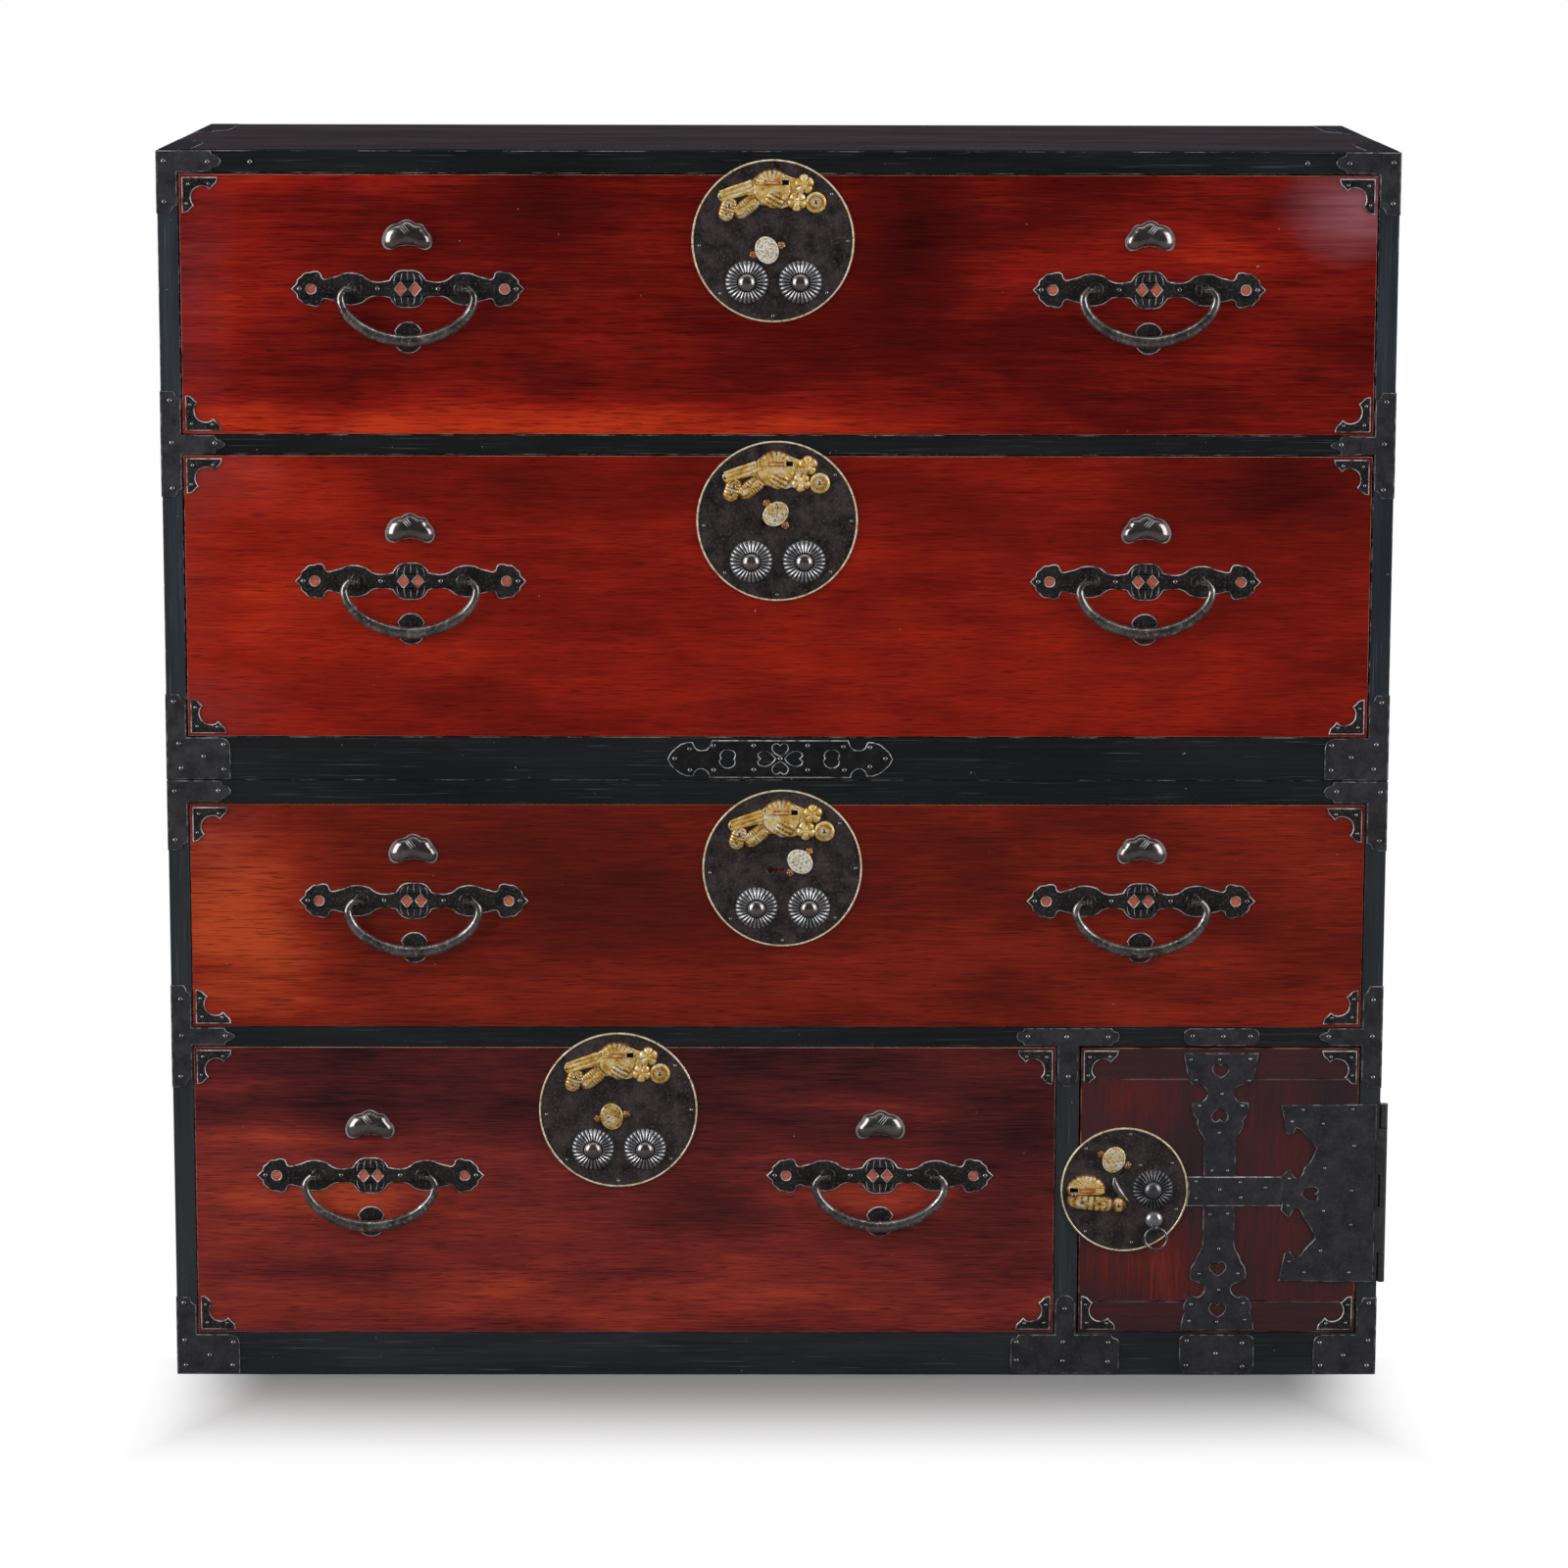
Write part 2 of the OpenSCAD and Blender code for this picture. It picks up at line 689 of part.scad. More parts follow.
module drawer_lock_ornament(i) {
    body_c = [-1, 43];
    body_r = 17.4;
    color(gilt) on_face(lock_x(i), lock_z(i)) {
        lock_rim(lock_r);
        translate([-22.3, -35, 0]) flower_boss(boss_r);
        translate([23.4, -35, 0]) flower_boss(boss_r);
        difference() {
            translate([0, 0, lock_t]) {
                translate([body_c[0], body_c[1], gilt_t - past]) dome(body_r - 1, gilt_t);
                linear_extrude(gilt_t) {
                    translate(body_c) circle(r = body_r);
                    slot_2d([-43, 39.5], [-18, 46], 5);
                    slot_2d([-38, 38], [-38, 25], 7.4);
                    slot_2d([-21, 40], [-21, 26], 7.4);
                    translate([26, 50]) circle(r = 7.8);
                    translate([20, 33]) circle(r = 7.8);
                    translate([36, 32]) circle(r = 7.8);
                    translate([27, 39]) circle(r = 7);
                }
            }
            translate([slot_c[0] - slot_w / 2, slot_c[1] - slot_h / 2, 0]) cube([slot_w, slot_h, 20]);
        }
    }
}

// Swinging oval cover over a keyhole, with its rivet at the origin and pointing along +x
module key_cover() {
    base = lock_t + slip;
    mid = 13.7;
    cover_t = 1.2;
    translate([0, 0, base]) {
        translate([mid - 4, 0, cover_t - 0.2]) dome(8.4, 1.6);
        translate([mid + 4, 0, cover_t - 0.2]) dome(8.4, 1.6);
        linear_extrude(cover_t) {
            slot_2d([0, 0], [cover_l, 0], rosette_r);
            slot_2d([mid - 4, 0], [mid + 4, 0], 9.2);
        }
        cylinder(r = rosette_r, h = cover_t + 0.8);
        translate([cover_l, 0, 0]) cylinder(r = rosette_r, h = cover_t + 0.8);
    }
    translate([0, 0, -slip - 1]) cylinder(r = rivet_r, h = base + slip + 1 + cover_t / 2);
    translate([0, 0, -slip - 1.5]) cylinder(r = 2.4, h = 1.5);
}

module drawer_key_cover(i) {
    color(gilt) on_face(lock_x(i), lock_z(i)) translate(key_pivot) rotate(cover_turn[i]) key_cover();
}

// Tab that is pushed along the slot, with its carrier and cam pin behind the plate
module drawer_lock_tab(i) {
    tab_out = lock_t + gilt_t + 2.5;
    color(copper) on_face(lock_x(i), lock_z(i)) {
        translate([slot_c[0] - tab_w / 2, slot_c[1] - tab_h / 2, -carrier_out]) {
            cube([tab_w, tab_h, carrier_out + tab_out]);
        }
        translate([slot_c[0] - tab_w / 2, slot_c[1] + 3 - carrier_l, -carrier_out]) {
            cube([tab_w, carrier_l, carrier_t]);
        }
        translate([cam_start[0], cam_start[1], -bolt_out - bolt_t + slip]) {
            cylinder(r = cam_pin_r, h = bolt_t + slip + carrier_t / 2);
        }
    }
}

// Bolt with the slanted slot that the tab's pin lifts it by
module drawer_lock_bolt(i) {
    color(iron) on_face(lock_x(i), lock_z(i)) translate([0, 0, -bolt_out - bolt_t]) {
        linear_extrude(bolt_t) difference() {
            translate([bolt_x0, bolt_drop]) square([bolt_x1 - bolt_x0, bolt_l]);
            slot_2d(cam_start, cam_start + [tab_travel, -bolt_lift], cam_pin_r + slip);
        }
    }
}

// Bail: the middle line runs round the lower half of a wide oval, and its ends turn up and in
bail_dip = 7.4;
bail_end_x = post_x + eye_l / 2 + slip + bail_end_r;
bail_end_z = 1.6;
bail_turn = acos(bail_end_x / bail_half_w);
bail_top_b = (bail_dip + bail_end_z) / sin(bail_turn);
bail_rings = 22;
bail_sides = 10;
bail_point_p = 1.08;

function bail_at(a) = a < 0 || a > 180
    ? [bail_half_w * cos(a), -bail_dip - bail_top_b * sin(a)]
    : [bail_half_w * sign(cos(a)) * pow(abs(cos(a)), bail_point_p),
       -bail_dip - (bail_drop - bail_dip) * pow(sin(a), bail_point_p)];
function bail_angle(k) = -bail_turn + (180 + 2 * bail_turn) * k / (bail_rings - 1);
function bail_radius(k) = bail_end_r + (bail_r - bail_end_r) * pow(sin(180 * k / (bail_rings - 1)), 1.3);
function bail_way(k) =
    let (d = bail_at(bail_angle(k) + 0.5) - bail_at(bail_angle(k) - 0.5)) d / norm(d);
function bail_ring(k) =
    let (c = bail_at(bail_angle(k)), w = bail_way(k), r = bail_radius(k))
    [for (j = [0 : bail_sides - 1])
        let (a = 360 * j / bail_sides)
        [c[0] - w[1] * r * cos(a), c[1] + w[0] * r * cos(a), r * sin(a)]];

module bail() {
    n = bail_sides;
    points = [for (k = [0 : bail_rings - 1]) each bail_ring(k)];
    walls = [for (k = [0 : bail_rings - 2], j = [0 : n - 1])
        let (a = k * n + j, b = k * n + (j + 1) % n) each [[a, a + n, b], [b, a + n, b + n]]];
    start_cap = [for (j = [0 : n - 1]) j];
    end_cap = [for (j = [n - 1 : -1 : 0]) (bail_rings - 1) * n + j];
    pin_l = eye_l + slip + 1.5;
    polyhedron(points = points, faces = concat(walls, [start_cap, end_cap]), convexity = 4);
    mirrored() translate([bail_end_x - pin_l, 0, 0]) rotate([0, 90, 0]) cylinder(r = pin_r, h = pin_l);
}

module drawer_bail(i, side) {
    color(iron) on_face(drawer_cx(i) + side * handle_x[i], handle_z(i)) translate([0, 0, pivot_h]) bail();
}

// Door

module door_panel() {
    color(lacquer_red) difference() {
        union() {
            block([door_left, face_y, door_z0 + clamp_w + seam],
                  [door_right, face_y + door_t, door_z1 - clamp_w - seam]);
            block([door_left, face_y, door_z0], [door_right, face_y + door_t, door_z0 + clamp_w]);
            block([door_left, face_y, door_z1 - clamp_w], [door_right, face_y + door_t, door_z1]);
        }
        on_face(door_lock[0], door_lock[1]) {
            block([door_left - door_lock[0] - past, -door_bolt_z - 2 * slip, -door_bolt_in - bolt_t - 2 * slip],
                  [door_slot_c[0] + door_bolt_l + 3, door_bolt_z + 2 * slip, past]);
            translate([door_key_pivot[0], door_key_pivot[1], -3]) cylinder(r = 4, h = 3 + past);
        }
    }
}

// Cross-shaped strap, narrow in its waist, with round bites and hearts, and an arm to the hinge
module door_strap_2d() {
    top = door_z1 - leaf_cz - 4;
    low = leaf_cz - door_z0 - 4;
    waist = 17;
    difference() {
        union() {
            translate([-waist, -low]) square([2 * waist, top + low]);
            translate([-33, top - 29]) square([66, 29]);
            translate([-33, -low]) square([66, 29]);
            translate([0, top - 46]) square([48, 22], center = true);
            translate([0, 46 - low]) square([48, 22], center = true);
            translate([-29, -13]) square([81, 26]);
        }
        for (s = [-1, 1]) {
            translate([s * 18.5, top - 33.5]) circle(r = 7);
            translate([s * 18.5, 34 - low]) circle(r = 7);
        }
        for (z = [top - 14, top - 52, 52 - low, 14 - low]) {
            translate([0, z]) heart_2d(3.6);
        }
    }
}

module door_straps() {
    color(iron) {
        on_face(strap_cx, leaf_cz) linear_extrude(plate_t) difference() {
            door_strap_2d();
            translate([leaf_left - slip - strap_cx, -door_open_w]) square([door_open_w, 2 * door_open_w]);
            translate([door_lock[0] - strap_cx, door_lock[1] - leaf_cz]) circle(r = door_lock_r + slip);
        }
        corner_irons(door_left, door_right, door_z0, door_z1);
    }
}

// Door leaf of the hinge, cusped on its left edge, and its two knuckles
leaf_w = 68;
leaf_left = door_right - leaf_w;
knuckle_zs = [for (f = [0, 0.134, 0.397, 0.575, 0.834, 1]) leaf_z1 - f * (leaf_z1 - leaf_z0)];

module hinge_leaf_2d() {
    high = leaf_z1 - leaf_z0;
    wide = barrel_x - leaf_left;
    difference() {
        translate([leaf_left, leaf_z0]) square([wide, high]);
        translate([leaf_left + 16, leaf_z1 - 46]) circle(r = 14);
        translate([leaf_left - 2, leaf_z1 - 38]) circle(r = 14);
        translate([leaf_left + 16, leaf_z0 + 46]) circle(r = 14);
        translate([leaf_left - 2, leaf_z0 + 38]) circle(r = 14);
        translate([leaf_left + 26, leaf_cz]) heart_2d(4.2);
    }
}

module knuckle(k, r, bore) {
    low = knuckle_zs[k + 1] + slip / 2;
    high = knuckle_zs[k] - slip / 2;
    difference() {
        union() {
            translate([barrel_x, barrel_y, low]) cylinder(r = r, h = high - low);
            children();
        }
        translate([barrel_x, barrel_y, low - past]) cylinder(r = bore, h = high - low + 2 * past);
    }
}

module door_hinge_leaf() {
    cut_x = case_w / 2 - 1;
    color(iron) difference() {
        union() {
            difference() {
                on_face(0, 0) linear_extrude(leaf_t) hinge_leaf_2d();
                for (k = [0, 2, 4]) {
                    block([cut_x, face_y - leaf_t - past, knuckle_zs[k + 1] - slip / 2],
                          [barrel_x + past, face_y + past, knuckle_zs[k] + slip / 2]);
                }
            }
            knuckle(1, barrel_r, hinge_pin_r + hinge_gap);
            knuckle(3, barrel_r, hinge_pin_r + hinge_gap);
        }
        translate([barrel_x, barrel_y, leaf_z0 - past]) {
            cylinder(r = hinge_pin_r + hinge_gap, h = leaf_z1 - leaf_z0 + 2 * past);
        }
    }
}

// Side leaf with three knuckles, and the pin that stands in them as a second solid
module side_hinge_leaf() {
    leaf_l = 40;
    color(iron) {
        difference() {
            union() {
                block([case_w / 2, barrel_y + 4, leaf_z0 + slip / 2],
                      [case_w / 2 + leaf_t, barrel_y + leaf_l, leaf_z1 - slip / 2]);
                for (k = [0, 2, 4]) {
                    knuckle(k, barrel_r, hinge_pin_r + seam);
                    block([case_w / 2 + slip, barrel_y + 1, knuckle_zs[k + 1] + slip / 2],
                          [case_w / 2 + leaf_t, barrel_y + 5, knuckle_zs[k] - slip / 2]);
                }
            }
            translate([barrel_x, barrel_y, leaf_z0 - past]) {
                cylinder(r = hinge_pin_r + seam, h = leaf_z1 - leaf_z0 + 2 * past);
            }
        }
        translate([barrel_x, barrel_y, leaf_z0]) cylinder(r = hinge_pin_r, h = leaf_z1 - leaf_z0);
    }
}

module door_lock_plate() {
    color(iron) on_face(door_lock[0], door_lock[1]) linear_extrude(lock_t) difference() {
        circle(r = door_lock_r - rim_w, $fn = 128);
        translate(door_slot_c) square([slot_w + 2, slot_h], center = true);
        translate(door_key_pivot) circle(r = rivet_r + pin_gap);
    }
}

// Gilt fittings of the door, with the stud and lug that carry the pull ring
module door_ornament() {
    lug_half = 1.5;
    lug_bore = wire_r + 0.55;
    lug_z = ring_c[1] + ring_r - wire_r;
    color(gilt) on_face(door_lock[0], door_lock[1]) {
        lock_rim(door_lock_r);
        translate([door_boss_c[0], door_boss_c[1], 0]) flower_boss(door_boss_r);
        translate([stud_c[0], stud_c[1] + 2, lock_t]) dome(stud_r - 2, 6);
        difference() {
            union() {
                block([ring_c[0] - lug_half, lug_z - lug_bore - 1, lock_t],
                      [ring_c[0] + lug_half, lug_z + lug_bore + 1, ring_h]);
                translate([ring_c[0] - lug_half, lug_z, ring_h]) rotate([0, 90, 0]) {
                    cylinder(r = lug_bore + 1, h = 2 * lug_half);
                }
            }
            translate([ring_c[0] - 5, lug_z, ring_h]) rotate([0, 90, 0]) cylinder(r = lug_bore, h = 10);
        }
        translate([0, 0, lock_t]) linear_extrude(gilt_t) difference() {
            union() {
                translate([door_slot_c[0] + 1, 0]) circle(r = 11.5);
                slot_2d([-43, -8], [-6, -8], 8);
                translate([-10, -14]) circle(r = 7.5);
                slot_2d([-40, 0], [-12, 2], 7);
            }
            translate(door_slot_c) square([slot_w + 2, slot_h], center = true);
        }
    }
}

module door_key_cover() {
    color(gilt) on_face(door_lock[0], door_lock[1]) translate(door_key_pivot) rotate(door_cover_turn) key_cover();
}

// Door bolt, cut from one piece with its tab
module door_lock_bolt() {
    tab_out = lock_t + gilt_t + 2.5;
    bolt_left = door_left - door_lock[0] + 1;
    color(copper) on_face(door_lock[0], door_lock[1]) {
        block([bolt_left, -door_bolt_z, -door_bolt_in - bolt_t], [bolt_left + door_bolt_l, door_bolt_z, -door_bolt_in]);
        translate([door_slot_c[0] - tab_w / 2, -tab_h / 2, -door_bolt_in - past]) {
            cube([tab_w, tab_h, door_bolt_in + past + tab_out]);
        }
    }
}

module door_ring() {
    color(gilt) on_face(door_lock[0] + ring_c[0], door_lock[1] + ring_c[1]) {
        translate([0, 0, ring_h]) rotate_extrude() translate([ring_r - wire_r, 0]) circle(r = wire_r);
    }
}

for (i = [0 : len(DRAWERS) - 1]) {
    drawer_front(i);
    drawer_box(i);
    drawer_iron_fittings(i);
    drawer_lock_plate(i);
    drawer_lock_ornament(i);
    drawer_key_cover(i);
    drawer_lock_tab(i);
    drawer_lock_bolt(i);
    drawer_bail(i, -1);
    drawer_bail(i, 1);
}
door_panel();
door_straps();
door_hinge_leaf();
door_lock_plate();
door_ornament();
door_key_cover();
door_lock_bolt();
door_ring();
side_hinge_leaf();
lower_case_sides();
lower_case_boards();
lower_case_back();
lower_case_divider();
lower_case_frame();
lower_case_straps();
upper_case_sides();
upper_case_boards();
upper_case_back();
upper_case_frame();
upper_case_straps();
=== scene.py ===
"""Two-section clothing chest: red-lacquered drawers and a small door in a black frame, with cut iron and gilt."""
import json
import math
from contextlib import contextmanager

import bpy
from mathutils import Matrix, Vector

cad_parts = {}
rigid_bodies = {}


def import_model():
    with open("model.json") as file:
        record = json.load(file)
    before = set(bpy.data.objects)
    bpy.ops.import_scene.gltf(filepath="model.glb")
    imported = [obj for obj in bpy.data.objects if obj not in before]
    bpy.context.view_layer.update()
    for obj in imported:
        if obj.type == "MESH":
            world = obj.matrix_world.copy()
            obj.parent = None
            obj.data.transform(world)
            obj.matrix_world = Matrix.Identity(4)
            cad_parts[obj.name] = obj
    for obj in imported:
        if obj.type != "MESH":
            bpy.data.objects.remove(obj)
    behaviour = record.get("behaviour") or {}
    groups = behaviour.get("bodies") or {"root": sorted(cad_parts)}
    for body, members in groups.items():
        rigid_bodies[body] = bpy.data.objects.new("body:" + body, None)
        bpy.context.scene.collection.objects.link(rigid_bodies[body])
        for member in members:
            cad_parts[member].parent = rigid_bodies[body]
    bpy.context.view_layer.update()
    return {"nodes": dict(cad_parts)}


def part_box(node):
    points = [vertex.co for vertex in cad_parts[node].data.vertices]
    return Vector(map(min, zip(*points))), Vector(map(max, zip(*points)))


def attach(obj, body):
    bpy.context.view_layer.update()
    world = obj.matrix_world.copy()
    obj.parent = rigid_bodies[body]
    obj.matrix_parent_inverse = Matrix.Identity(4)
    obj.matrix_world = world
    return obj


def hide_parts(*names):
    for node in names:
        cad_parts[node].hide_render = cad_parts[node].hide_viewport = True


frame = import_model()
solids = frame["nodes"]
kept = list(bpy.data.objects)

MM = 0.001


def corners(solid):
    """Lowest and highest corner of a solid, in millimetres."""
    return [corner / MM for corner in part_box(solid)]


def middle(solid):
    """Middle of a solid, in millimetres."""
    low, high = corners(solid)
    return (low + high) / 2


# Places in millimetres: the first five taken from the solids, the rest given
FACE_Y = corners("top_drawer_front")[0].y
FRAME_Y = corners("upper_case_frame")[0].y
HALF_W = corners("upper_case_frame")[1].x
LOWER_H = corners("lower_case_frame")[1].z
TOTAL_H = corners("upper_case_frame")[1].z
STILE_X = 512.0
BASE_RAIL = 38.5
MID_RAIL = 17.5
SEAM_RAIL = 20.5
TOP_RAIL = 19.5
LOW_MID_Z = 298.0
UP_MID_Z = 819.5
DIVIDER_X = 255.0

# Sizes of the fittings, in millimetres
HANDLE_RISE = 13.5
POST_X = 45.7
PIVOT_OUT = 9.0
BOSS_RISE = 46.0
STRIKE_DROP = 41.6
PLATE_T = 1.2
LOCK_T = 1.5
GILT_T = 3.0
LOCK_R = 69.5
DOOR_LOCK_R = 56.0
RIM_W = 1.5
RIM_H = 2.4
SLOT = (-1.0, 50.0)
SLOT_HALF = (14.5, 2.25)
DOOR_SLOT = (-32.6, 0.0)
DOOR_SLOT_HALF = (15.5, 2.25)
PIVOT_R = 1.5
KEY_PIVOT = (7.0, -3.5)
DOOR_KEY_PIVOT = (2.4, 22.4)
COVER_TURN = {"top_drawer": 199, "second_drawer": 130, "third_drawer": 49, "bottom_drawer": 189, "door": 157}
FRONT_T = 20.0
STRAP_T = 1.0
SIDE_T = 0.6
TOP_STRAP_T = 0.5
WRAP = 34.0
# width of the light line beside the chamfers: rubbed wear and a painted highlight along the edges
WORN_AND_SHEEN_LINE = 0.32


# Modelling

def take(*pieces):
    """Only these pieces are selected, and the first is active."""
    bpy.ops.object.select_all(action="DESELECT")
    for piece in pieces:
        piece.select_set(True)
    if pieces:
        bpy.context.view_layer.objects.active = pieces[0]


@contextmanager
def edited(piece, mode="VERT", chosen=lambda part: True):
    """Edit mode on a piece, with the parts selected for which chosen says yes; mode is VERT, EDGE or FACE."""
    take(piece)
    bpy.ops.object.mode_set(mode="EDIT")
    bpy.ops.mesh.select_mode(type=mode)
    bpy.ops.mesh.select_all(action="DESELECT")
    bpy.ops.object.mode_set(mode="OBJECT")
    mesh = piece.data
    for part in {"VERT": mesh.vertices, "EDGE": mesh.edges, "FACE": mesh.polygons}[mode]:
        part.select = bool(chosen(part))
    bpy.ops.object.mode_set(mode="EDIT")
    yield
    bpy.ops.object.mode_set(mode="OBJECT")


def settle(piece):
    """Place, turn and size go into the mesh, so that the object sits at the origin."""
    take(piece)
    bpy.ops.object.transform_apply(location=True, rotation=True, scale=True)


def outward(piece):
    """Doubles merged and every face turned outwards."""
    with edited(piece):
        bpy.ops.mesh.remove_doubles(threshold=1e-6)
        bpy.ops.mesh.normals_make_consistent(inside=False)


def smooth(piece, angle):
    take(piece)
    bpy.ops.object.shade_smooth_by_angle(angle=math.radians(angle))


def apply_modifier(piece, kind, **settings):
    take(piece)
    modifier = piece.modifiers.new("shaped", kind)
    for key, value in settings.items():
        setattr(modifier, key, value)
    bpy.ops.object.modifier_apply(modifier=modifier.name)


def coat(piece, *materials):
    """Gives a piece its materials, in the order of its faces' material numbers."""
    piece.data.materials.clear()
    for material in materials:
        piece.data.materials.append(material)
    return piece


def linked(name, data):
    """New object in the scene, selected and active."""
    thing = bpy.data.objects.new(name, data)
    bpy.context.scene.collection.objects.link(thing)
    take(thing)
    return thing


def copied(piece, x=0.0, z=0.0, y=0.0, mirror=False, turn=0.0, swing=0.0, half_turn=False):
    """A copy with its own mesh: mirrored left to right, turned over the front, swung to a side and moved."""
    twin = piece.copy()
    twin.data = piece.data.copy()
    bpy.context.scene.collection.objects.link(twin)
    move = Matrix.Translation((x * MM, y * MM, z * MM)) @ Matrix.Rotation(math.radians(swing), 4, "Z")
    move = move @ Matrix.Rotation(math.radians(-turn), 4, "Y")
    if half_turn:
        move = move @ Matrix.Diagonal((-1, -1, 1, 1))
    if mirror:
        move = move @ Matrix.Diagonal((-1, 1, 1, 1))
    twin.data.transform(move)
    if mirror:
        twin.data.flip_normals()
    return twin


def joined(parts):
    """One piece of several."""
    take(*parts)
    if len(parts) > 1:
        bpy.ops.object.join()
    return parts[0]


def finish(parts, name, body, slot, solid):
    """Joins parts under a name, on a body, and hides the solid they stand for; slot is not used."""
    whole = joined(parts)
    whole.name = whole.data.name = name
    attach(whole, body)
    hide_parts(solid)
    kept.append(whole)
    return whole


def loose(solid, flat=False):
    """A loose copy of a solid, merged; flat takes the lines out of its flat faces."""
    piece = copied(solids[solid])
    for key in list(piece.keys()):
        del piece[key]
    piece.parent = None
    with edited(piece):
        bpy.ops.mesh.remove_doubles(threshold=1e-5)
        if flat:
            bpy.ops.mesh.dissolve_limited(angle_limit=math.radians(1))
    return piece


def dressed(solid, width, name, body, slot, *materials, sort=lambda face: 0):
    """The solid's own shape with its long edges eased and the eased faces in the last material."""
    piece = coat(loose(solid, flat=True), *materials)
    for face in piece.data.polygons:
        face.material_index = sort(face)
    apply_modifier(piece, "BEVEL", width=width * MM, segments=2, limit_method="ANGLE",
                   angle_limit=math.radians(40), material=len(materials) - 1)
    for face in piece.data.polygons:
        face.use_smooth = False
    return finish([piece], name, body, slot, solid)


# Outlines: a knot is (x, z) at a corner or (x, z, 1) on a smooth curve, in millimetres as seen from the front

def flipped(loop, across, up):
    """A loop's knots backwards and mirrored."""
    return [(knot[0] * across, knot[1] * up, *knot[2:]) for knot in reversed(loop)]


def both_sides(half):
    """Closed outline from its right half, listed from the top middle to the bottom middle."""
    return half + [knot for knot in flipped(half, -1, 1) if abs(knot[0]) > 0.01]


def four_sides(quarter):
    """Closed outline from its upper right quarter, listed from the top middle to the right end."""
    return both_sides(quarter + [knot for knot in flipped(quarter, 1, -1) if abs(knot[1]) > 0.01])


def moved(loop, x, z=0):
    return [(knot[0] + x, knot[1] + z, *knot[2:]) for knot in loop]


def round_hole(x, z, r):
    return [(x + r, z, 1), (x, z + r, 1), (x - r, z, 1), (x, z - r, 1)]


def square_hole(x, z, half_w, half_h):
    return [(x - half_w, z - half_h), (x + half_w, z - half_h), (x + half_w, z + half_h), (x - half_w, z + half_h)]


def heart_hole(x, z, w, h, turn=0):
    """Loop of a heart-shaped hole; its point looks down, or turned by an angle."""
    heart = both_sides([(0, 0.30), (0.27, 0.48, 1), (0.5, 0.18, 1), (0.36, -0.22, 1), (0, -0.5)])
    c, s = math.cos(math.radians(turn)), math.sin(math.radians(turn))
    return [(x + c * w * across - s * h * up, z + s * w * across + c * h * up, *kind) for across, up, *kind in heart]


def cut_sheet(loops, thick, *metals, chamfer=0.45, steps=4, soft=0):
    """Sheet cut to an outline with holes, standing upright with its flat back at y = 0 and its front edges chamfered.

    The chamfer and a narrow line beside it are of the second metal, if there is one."""
    drawing = bpy.data.curves.new("sheet", "CURVE")
    drawing.dimensions = "2D"
    drawing.fill_mode = "BOTH"
    drawing.resolution_u = steps
    drawing.bevel_depth = chamfer * MM
    drawing.bevel_resolution = soft
    drawing.extrude = (thick - chamfer) * MM
    drawing.offset = -chamfer * MM
    for loop in loops:
        spline = drawing.splines.new("BEZIER")
        spline.bezier_points.add(len(loop) - 1)
        spline.use_cyclic_u = True
        for point, (x, z, *curved) in zip(spline.bezier_points, loop):
            point.co = (x * MM, z * MM, 0)
            point.handle_left_type = point.handle_right_type = "AUTO" if curved else "VECTOR"
    linked("sheet", drawing)
    bpy.ops.object.convert(target="MESH")
    sheet = bpy.context.object
    # the back half of the thickness is pressed flat against the wood
    with edited(sheet, "VERT", lambda vertex: vertex.co.z < -1e-7):
        bpy.ops.transform.resize(value=(1, 1, 0), center_override=(0, 0, 0))
        bpy.ops.mesh.select_all(action="SELECT")
        bpy.ops.mesh.remove_doubles(threshold=2e-6)
        bpy.ops.mesh.normals_make_consistent(inside=False)
    # the narrow line beside the chamfer is of the light edge metal: rubbed wear and a painted highlight along the edge
    with edited(sheet, "FACE", lambda face: face.normal.z > 0.95):
        if len(metals) > 1:
            bpy.ops.mesh.inset(thickness=WORN_AND_SHEEN_LINE * MM, depth=0)
    coat(sheet, metals[0], metals[-1])
    for face in sheet.data.polygons:
        face.material_index = 0 if face.select or face.normal.z < -0.95 else 1
        face.use_smooth = False
    sheet.rotation_euler = (math.radians(90), 0, 0)
    settle(sheet)
    return sheet


# Domes and chased work

def gathered(rings):
    """Shares of the outline for a number of rings, closer together near it, where a dome curves most."""
    return [math.sin((k + 1) / (rings + 1) * math.pi / 2) for k in range(rings)]


def crown(share, power=2.0):
    """Height of a dome that is 1 high in its middle; a higher power makes it flatter."""
    return math.sqrt(max(0.0, 1 - share ** power))


def domed(high):
    """Relief of a plain dome."""
    return lambda share, angle: high * crown(share)


def disc(r):
    """Reach of a round outline."""
    return lambda angle: r


